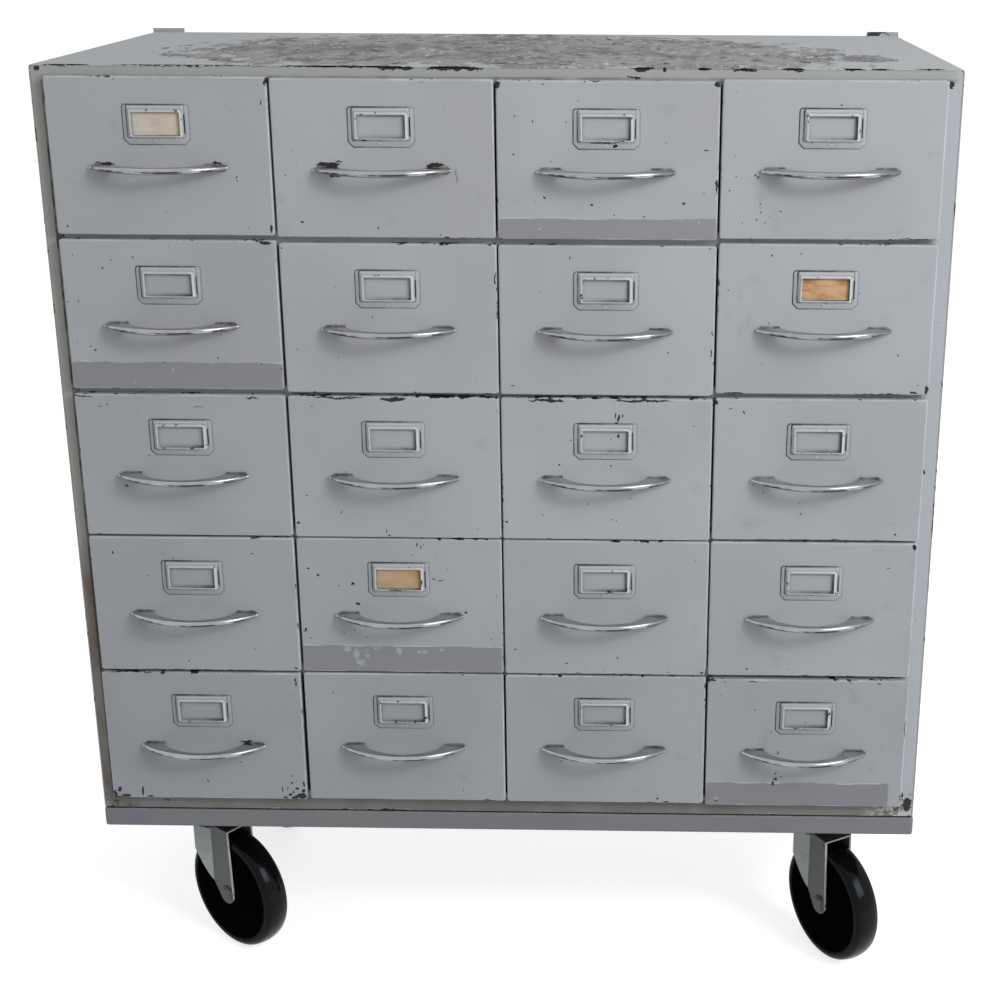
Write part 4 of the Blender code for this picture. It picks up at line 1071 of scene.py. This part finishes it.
# Chips of single fronts, in millimetres from the middle: x, z and, unless small, half width and half height
MARKS = {
    (1, 1): [(113, 76, 1.2, 5), (108, 55, 0.8, 2), (77, -20, 0.7, 1.4), (78, -24, 0.7, 1.4), (-42, 77),
             (40, 79), (-102.5, -72, 1.2), (2, -56), (86, -73), (110, -73, 1.6, 4), (-58, -6.2, 10, 1.2),
             (58, -6.2, 6, 1.2)],
    (1, 2): [(40, 77, 0.7), (42.5, 77.5, 0.7), (-94, 9), (-101, -16), (-87, -65, 1.2), (-8, -70, 0.8, 1.8),
             (56, -77), (64, -80, 3, 1), (79, -80, 6, 1), (-57, -5.4, 13, 2.4), (-46, -2.6, 4, 0.8),
             (-51, -16, 6, 3.0), (53, -5.4, 10, 2.4), (74.5, -16, 0.5, 8), (-20, 20, 6, 0.7)],
    (1, 3): [(-111.5, 76.5, 4, 4.2), (110.5, 77.5, 4, 3.4), (112, -25, 0.9, 8), (-30, 61), (-95, 45),
             (-76, 40, 0.8, 2.2), (-43, 40), (59, 19), (101, 11.5, 2.5, 0.8), (-96, 7), (-58, 0),
             (-65, -37, 1.1), (-74, -41), (-16, -44, 1.3), (6, -54), (79, -42, 1.4), (99, -32), (38, -57),
             (-5, 19, 15, 0.9), (8, 16, 2.2, 2.2)],
    (1, 4): [(-78, -15, 1.1), (-75, -16.5, 1.2), (-105, -31), (-72, -44), (-72.5, -48), (-72, -53), (-75, -60),
             (-62, -57), (-67, -64), (-90, -64), (-52, -52), (6, 55.5, 2, 0.5), (90, -80, 22, 0.8)],
    (2, 1): [(103, 79, 7, 2.2), (90, 80, 2, 1), (82, 80, 1.6, 0.9), (1, 74), (-37, 63), (-70, 50, 1.1),
             (-100, 16, 1.1), (-109, 14), (-105, -31), (-90, -34), (-86, -38, 1.5, 0.8), (45, -46), (-14, -51),
             (91, -52), (50, -56)],
    (2, 2): [(-110, 75), (112, 45, 0.9, 7), (-19, 2.7, 1.4, 0.9), (-100, -33), (-58, -6), (90, -64),
             (-83, -80, 3, 0.8), (23, -80, 3, 0.8), (103, -80, 4, 0.8)],
    (2, 3): [(-39, 68, 0.6, 2.6), (-100, -71, 2, 0.7), (111, -33, 0.7, 5), (111, -12, 0.7, 4),
             (106, 78, 1.4, 0.9)],
    (2, 4): [(-58, 68, 1.4), (-27, 71), (-60, -3), (34, 29), (78, -37), (-65, -46), (111, -75, 2.2, 5.5),
             (101, -69), (97, -78, 5, 1.1), (-95, -80, 12, 1.1), (60, -80.3, 30, 0.9)],
    (3, 1): [(-104, 78, 11, 0.8), (78, 77, 8, 1), (20, 66.5, 7, 0.5), (-87, 66, 2, 0.7), (-79, 69, 1.6, 0.6),
             (-38, 11.5), (-66, -23, 1.8)],
    (3, 2): [(0, 78, 16, 2.2), (-60, 79, 30, 1.0), (-88, 69, 2, 0.6), (-100, -32, 1.6, 0.6), (-55, -4),
             (-110, -64, 1.4), (87, -70), (-13, -73, 0.7, 3), (-10, -78, 1.6, 1.4)],
    (3, 3): [(-64, 78, 22, 1.8), (40, 78.5, 34, 1.4), (13, 58, 1.1, 5), (9.5, 62, 1, 3.4), (17, 61, 0.8, 3),
             (12.5, 39, 1.2, 2.8), (5, 34, 1), (-39, 34, 1.2), (-52, 5.5, 1.2), (5, 5, 1.2), (-31, -32),
             (-58, -32), (-20, -37), (-20, -39.5), (26, -32), (11, 53, 2.2, 1.4), (-69, -53), (7, -57),
             (10, -58.5), (-109, -61, 2, 1.2), (94, 51)],
    (3, 4): [(-113, 76, 1.8, 3), (-97, 70, 1.6, 0.6), (-82, 65, 0.8, 2), (-59, -26), (-19, -37),
             (-17, -50, 1.2), (87, -73, 1.5), (10, -80.3, 90, 0.7)],
    (4, 1): [(-89, 61.5, 1, 1.6), (-23, 55, 1.1), (66, 62, 2, 0.7), (-58, -43), (63, -53), (-98, -77),
             (0, -80.3, 80, 0.6), (108, -76, 1.4)],
    (4, 2): [(20, 74, 1, 2.6), (24, 71, 0.8, 2), (27, 75, 0.8), (15, 62), (41, 59), (-101, 45.5, 1.4),
             (-91, 37, 1.6), (-53, 26.5, 1.8), (-69, 25), (53, 45.5), (37, 33, 1.8, 0.8), (45, 32.5, 3, 0.7),
             (-48, 3, 1.8), (107, 13), (-109, -29.5, 1.2, 3), (-66, -32), (-54, -29), (-40, -38), (101, -39),
             (73, -7.6, 1.8), (24, 30, 0.8, 5), (-6, 20.5, 10, 0.8)],
    (4, 3): [(-102.5, -50, 1.2), (12.5, -60, 1.2), (-5, -35), (100, 59, 1.6, 0.7), (-44, -67, 1.8, 0.6),
             (71, -77, 1.2), (5, 21, 5, 0.9), (109, -77, 1.8, 1.2), (0, -80.3, 60, 0.6)],
    (4, 4): [(110, 76, 2.2, 4.5), (82.5, 51.5, 2.2, 0.5), (-70, -72, 1.4, 0.9), (-23, -73),
             (0, -80.3, 80, 0.6)],
    (5, 1): [(-80, 80.4, 30, 0.6), (-43, 80, 3, 1.2), (108, 70, 0.8, 6), (-2, -57, 0.8, 1.8), (85, -68, 0.8, 4),
             (97, -58.5, 1.7), (97, -50), (91, -66, 1.4), (107, -76, 6, 4), (100, -78, 5, 2),
             (109, -69, 2.5, 3), (98, -71, 1.6), (-111, -76, 2.6, 6), (-107, -80, 5, 1.4), (-79, -72, 1.8, 7),
             (-105, -70, 2.5, 3.5), (-98, -78, 6, 2), (-70, -78, 5, 1.4), (103, -66, 1.5, 2),
             (94, -74, 2.4, 2.4), (88, -78, 3, 1.4), (110, -60, 1.2, 3), (47, -6, 8, 1.8)],
    (5, 2): [(-81, 56), (23, -53), (-10, 21, 1.2), (-72, -10.5, 1.4), (95, -79.6, 9, 0.7)],
    (5, 3): [(-51, -28, 1.2), (71, -79, 4, 1.4), (61, -75, 1.6), (-52, 80, 3, 1)],
    (5, 4): [(-111, 79, 6.5, 2.2), (-95, 77), (-63, 77, 6, 0.8), (48, 78), (80, 77, 2.4, 0.8), (-59, 42),
             (-53, 9), (-31, -12, 0.8, 3), (-28, -20, 0.7, 3), (-30, -28, 0.7, 2), (-33, -38, 1.6, 1.4),
             (-33, -46, 3, 2.2), (-36, -52, 1.6, 3.4), (-27, -43, 1.4, 1.2), (41, -29), (-101, -75, 2.2, 0.9),
             (112.5, 20, 0.7, 12), (112.5, -70, 0.8, 7)],
}

# Chips of the carcass's upper front edge, and of the frame below it, in millimetres: x, z and size
TOP_EDGE_MARKS = [(-437, 1072.2, 26, 0.8), (-318, 1072.2, 80, 0.6), (-152, 1071.8, 75, 1.0),
                  (-98, 1070.5, 20, 1.8), (-41, 1070.5, 34, 2.2), (149, 1071, 14, 1.8), (172, 1070, 3, 3),
                  (212, 1071, 8, 2), (253, 1070.5, 14, 2), (302, 1071.5, 13, 1.4), (364, 1071.8, 12, 1.2),
                  (440, 1072.2, 16, 0.8)]
FRAME_MARKS = [(141, 1062.2, 8, 1.4), (463, 1057, 2, 4), (468, 236, 6, 10), (460, 248, 2.5, 4),
               (460, 645, 2.2, 3.2), (463, 470), (464, 812), (-468, 1068, 4, 3), (-400, 231, 4, 1.2),
               (-330, 236), (-190, 233), (60, 231), (230, 236, 2, 0.8)]

# Cards left in three windows: paper, stain, how strong it is, and how far the left end is bleached
CARDS = {
    (1, 1): (srgb(212, 192, 172), srgb(186, 158, 134), 0.6, 0.85),
    (2, 4): (srgb(206, 168, 126), srgb(150, 92, 48), 0.9, 0.0),
    (4, 2): (srgb(190, 158, 116), srgb(158, 120, 80), 0.8, 0.2),
}


def add_card(row, column, place):
    """A slightly bowed paper card in the label window."""
    colour, stain, strength, bleached = CARDS[row, column]
    tag = "r%d_c%d" % (row, column)
    half_x, half_z = WINDOW_WIDTH / 2 - CARD_GAP, (WINDOW_TOP - WINDOW_BOTTOM) / 2 - CARD_GAP
    middle = (WINDOW_TOP + WINDOW_BOTTOM) / 2
    level = -FRONT_PROUD - 0.0002
    bm = bmesh.new()
    rings = []
    for step in range(CARD_STEPS + 1):
        x = half_x * (2 * step / CARD_STEPS - 1)
        bow = CARD_BOW * (1 - (x / half_x) ** 2) * (0.6 + 0.4 * math.sin(9 * step / CARD_STEPS + column))
        x += FITTING_SHIFT
        back, front = level - bow, level - bow - CARD_THICKNESS
        rings.append([(x, back, middle - half_z), (x, front, middle - half_z),
                      (x, front, middle + half_z), (x, back, middle + half_z)])
    loft(bm, rings)
    card = new_piece("card_" + tag, bm, [paper("card_paper_" + tag, colour, stain, strength, bleached, place)],
                     Matrix.Translation(place))
    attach(card, "drawer_" + tag)


def dress_drawers(inner_paint):
    """Every drawer and handle, with its own wear and its own painted shade."""
    bm = bmesh.new()
    handle_mesh(bm)
    bmesh.ops.recalc_face_normals(bm, faces=bm.faces[:])
    handle_shape = bpy.data.meshes.new("handle")
    bm.to_mesh(handle_shape)
    bm.free()
    chrome = chrome_plate()
    for row in range(1, ROWS + 1):
        for column in range(1, COLUMNS + 1):
            tag = "r%d_c%d" % (row, column)
            low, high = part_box("drawer_" + tag)
            across, up = HANG[row][column - 1]
            hang = Vector((across / 1000, 0.0, up / 1000))
            place = Vector(((low.x + high.x) / 2, FACE_Y, (low.z + high.z) / 2)) + hang
            # Its own place in the noise, and painted light: a shade darker to the left and low down, and bluer
            # low down, standing in for the fall of light from the upper right
            shift = (1.37 * row + 0.61 * column, 2.3 * column, 0.83 * row)
            level = (1.075 - 0.0145 * (row - 1.5) ** 2) * (1.03 - 0.022 * (column - 2.9) ** 2)
            tone = tuple(level * (1 + 0.006 * part * (row - 3)) for part in range(3))
            paint = front_paint(tag, shift, tone, BANDS.get((row, column)), MARKS.get((row, column)),
                                TOP_WEAR.get((row, column), 0.12), PEELS.get((row, column)))
            bm = bmesh.new()
            front_pan(bm)
            label_holder(bm)
            drawer_body(bm, hang)
            drawer = new_piece("drawer_skin_" + tag, bm, [paint, inner_paint], Matrix.Translation(place))
            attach(drawer, "drawer_" + tag)
            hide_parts("drawer_" + tag)
            seat = Matrix.Translation(place + Vector((FITTING_SHIFT, -FRONT_PROUD, HANDLE_Z)))
            handle = place_piece("handle_skin_" + tag, handle_shape.copy(), [chrome], seat, 50.0)
            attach(handle, "drawer_" + tag)
            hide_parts("handle_" + tag)
            if (row, column) in CARDS:
                add_card(row, column, place)


def add_joint_shade_strip():
    """A thin black strip set back in the joint between the carcass and the base board, standing in for the
    joint's shade.
    """
    low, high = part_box("base_board")[1].z + 0.0001, BOTTOM_Z - 0.0001
    bm = bmesh.new()
    rings = []
    for inset, z in ((0.0008, low), (0.0010, (low + high) / 2), (0.0008, high), (0.0019, high), (0.0020, low)):
        around = ring(-HALF_WIDTH + inset, HALF_WIDTH - inset, FACE_Y + inset, BACK_Y - inset, 0.003, 0.0)
        rings.append([(x, y, z) for x, _, y in around])
    loft(bm, rings, ring_around=True)
    strip = new_piece("joint_shade_piece", bm, [joint_shade_black()])
    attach(strip, "cabinet")


def add_rivets(paint):
    """Low rivets that hold the rear sheet to the carcass, one row along each edge."""
    bm = bmesh.new()
    low_x, high_x = RIVET_INSET - HALF_WIDTH, HALF_WIDTH - RIVET_INSET
    low_z, high_z = BOTTOM_Z + RIVET_INSET, TOP_Z - RIVET_INSET
    places = [(low_x + (high_x - low_x) * k / (RIVETS_ACROSS - 1), z)
              for k in range(RIVETS_ACROSS) for z in (low_z, high_z)]
    places += [(x, low_z + (high_z - low_z) * k / (RIVETS_UP - 1))
               for k in range(1, RIVETS_UP - 1) for x in (low_x, high_x)]
    profile = [(0.0001, -0.0004), (0.0050, -0.0004), (0.0048, 0.0004), (0.0038, 0.0013), (0.0020, 0.0018),
               (0.0001, 0.0019)]
    for x, z in places:
        lathe(bm, profile, 20, Matrix.Translation((x, BACK_Y, z)) @ Matrix.Rotation(-math.pi / 2, 4, "X"))
    rivets = new_piece("back_rivets", bm, [paint])
    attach(rivets, "cabinet")


def finish_node(name, material, width):
    """Give a CAD node its material and softened edges."""
    node = frame["nodes"][name]
    for slot in node.material_slots:
        slot.material = material
    if width:
        soften(node, width)


def dress_casters():
    """Smooth wheels and forks, and bolts under the fixing plates."""
    # The fork legs' dark grey is painted shade and the wings' paler grey painted light
    steel = caster_metal("fork_steel_painted_light_shade", srgb(95, 98, 100), srgb(87, 89, 90), srgb(172, 180, 176))
    # The plates' zinc is darkened as painted shade under the base board
    zinc = caster_metal("plate_zinc_painted_shade", srgb(74, 75, 76), srgb(62, 63, 63))
    tyre = tyre_black()
    for name, heading in HEADINGS.items():
        low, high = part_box("caster_plate_" + name)
        axis = Vector(((low.x + high.x) / 2, (low.y + high.y) / 2, 0.0))
        swivel = Matrix.Translation(axis) @ Matrix.Rotation(math.radians(-heading), 4, "Z")
        bm = bmesh.new()
        fork_mesh(bm)
        fork = soften(new_piece("fork_skin_" + name, bm, [steel], swivel), 0.0006)
        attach(fork, "fork_" + name)
        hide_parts("caster_fork_" + name)
        bm = bmesh.new()
        wheel_mesh(bm)
        hub = Matrix.Translation((CASTER_TRAIL, 0.0, WHEEL_RADIUS)) @ Matrix.Rotation(math.pi / 2, 4, "X")
        wheel = new_piece("wheel_skin_" + name, bm, [tyre], swivel @ hub)
        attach(wheel, "wheel_" + name)
        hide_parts("caster_wheel_" + name)
        bm = bmesh.new()
        for x in (low.x + BOLT_INSET, high.x - BOLT_INSET):
            for y in (low.y + BOLT_INSET, high.y - BOLT_INSET):
                hex_bolt(bm, (x, y, high.z - BOLT_DROP), BOLT_ACROSS, BOLT_HEIGHT)
        bolts = new_piece("plate_bolts_" + name, bm, [zinc])
        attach(bolts, "cabinet")
        finish_node("caster_plate_" + name, zinc, 0.0006)


def dress_carcass(inner_paint):
    """The carcass's own solids with their wear."""
    finish_node("wrapper", wrapper_paint(), 0.0)
    finish_node("front_frame", frame_paint(), 0.0)
    finish_node("back_panel", back_paint(), 0.0003)
    finish_node("bottom_panel", inner_paint, 0.0)
    finish_node("base_board", base_paint(), 0.0)
    for number in range(1, COLUMNS):
        finish_node("partition_%d" % number, inner_paint, 0.0)


def light_path(nodes):
    """1 for rays that show a surface as it looks: straight from the camera, mirrored or through glass."""
    rays = nodes.add("ShaderNodeLightPath").outputs
    seen = nodes.math("MAXIMUM", rays["Is Camera Ray"], rays["Is Glossy Ray"])
    return nodes.math("MAXIMUM", seen, rays["Is Transmission Ray"])


def add_world(scene):
    """Light from all round, stronger from the right, in front of white."""
    scene.world = bpy.data.worlds.new("studio")
    scene.world.use_nodes = True
    nodes = Nodes(scene.world.node_tree)
    aim = nodes.add("ShaderNodeSeparateXYZ", nodes.add("ShaderNodeTexCoord").outputs["Generated"])
    sky = Field(nodes, aim.outputs["X"]).scaled(-1.0, 1.0, SKY_LEFT, SKY_RIGHT)
    background = nodes.tree.nodes["Background"].inputs
    nodes.feed(background["Strength"], light_path(nodes).scaled(0.0, 1.0, sky, 1.0))
    nodes.feed(background["Color"], WHITE)


def add_floor(scene):
    """White floor that keeps the shadow."""
    bm = bmesh.new()
    bm.faces.new([bm.verts.new((x * FLOOR_REACH, y * FLOOR_REACH, 0.0))
                  for x, y in ((-1, -1), (1, -1), (1, 1), (-1, 1))])
    mesh = bpy.data.meshes.new("floor")
    bm.to_mesh(mesh)
    bm.free()
    floor = bpy.data.objects.new("floor", mesh)
    scene.collection.objects.link(floor)
    material = bpy.data.materials.new("white_floor")
    material.use_nodes = True
    nodes = Nodes(material.node_tree)
    shader = nodes.tree.nodes["Principled BSDF"].inputs
    for name, value in (("Base Color", (FLOOR_GREY, FLOOR_GREY, FLOOR_GREY, 1.0)), ("Roughness", 0.9),
                        ("Specular IOR Level", 0.0), ("Emission Color", WHITE),
                        ("Emission Strength", light_path(nodes) * FLOOR_GLOW)):
        nodes.feed(shader[name], value)
    mesh.materials.append(material)


def add_stage():
    """White floor and surroundings, soft light from the upper right and the photograph's camera."""
    scene = bpy.context.scene
    scene.view_settings.view_transform = "Standard"
    add_world(scene)
    add_floor(scene)
    for name, (size, power, place) in LAMPS.items():
        lamp = bpy.data.lights.new(name, "AREA")
        lamp.shape = "SQUARE"
        lamp.size = size
        lamp.energy = power
        light = bpy.data.objects.new(name, lamp)
        scene.collection.objects.link(light)
        light.location = place
        light.rotation_euler = (LAMP_AIM - light.location).to_track_quat("-Z", "Y").to_euler()

    data = bpy.data.cameras.new("camera")
    data.sensor_fit = "HORIZONTAL"
    data.sensor_width = SENSOR
    data.lens = CAMERA_LENS
    data.shift_x = CAMERA_SHIFT_X
    data.clip_end = 100.0
    camera = bpy.data.objects.new("camera", data)
    scene.collection.objects.link(camera)
    camera.location = CAMERA_PLACE
    camera.rotation_euler = CAMERA_TURN
    scene.camera = camera


thin_paint = inside_paint()
dress_carcass(thin_paint)
add_joint_shade_strip()
add_rivets(thin_paint)
dress_drawers(thin_paint)
dress_casters()
add_stage()
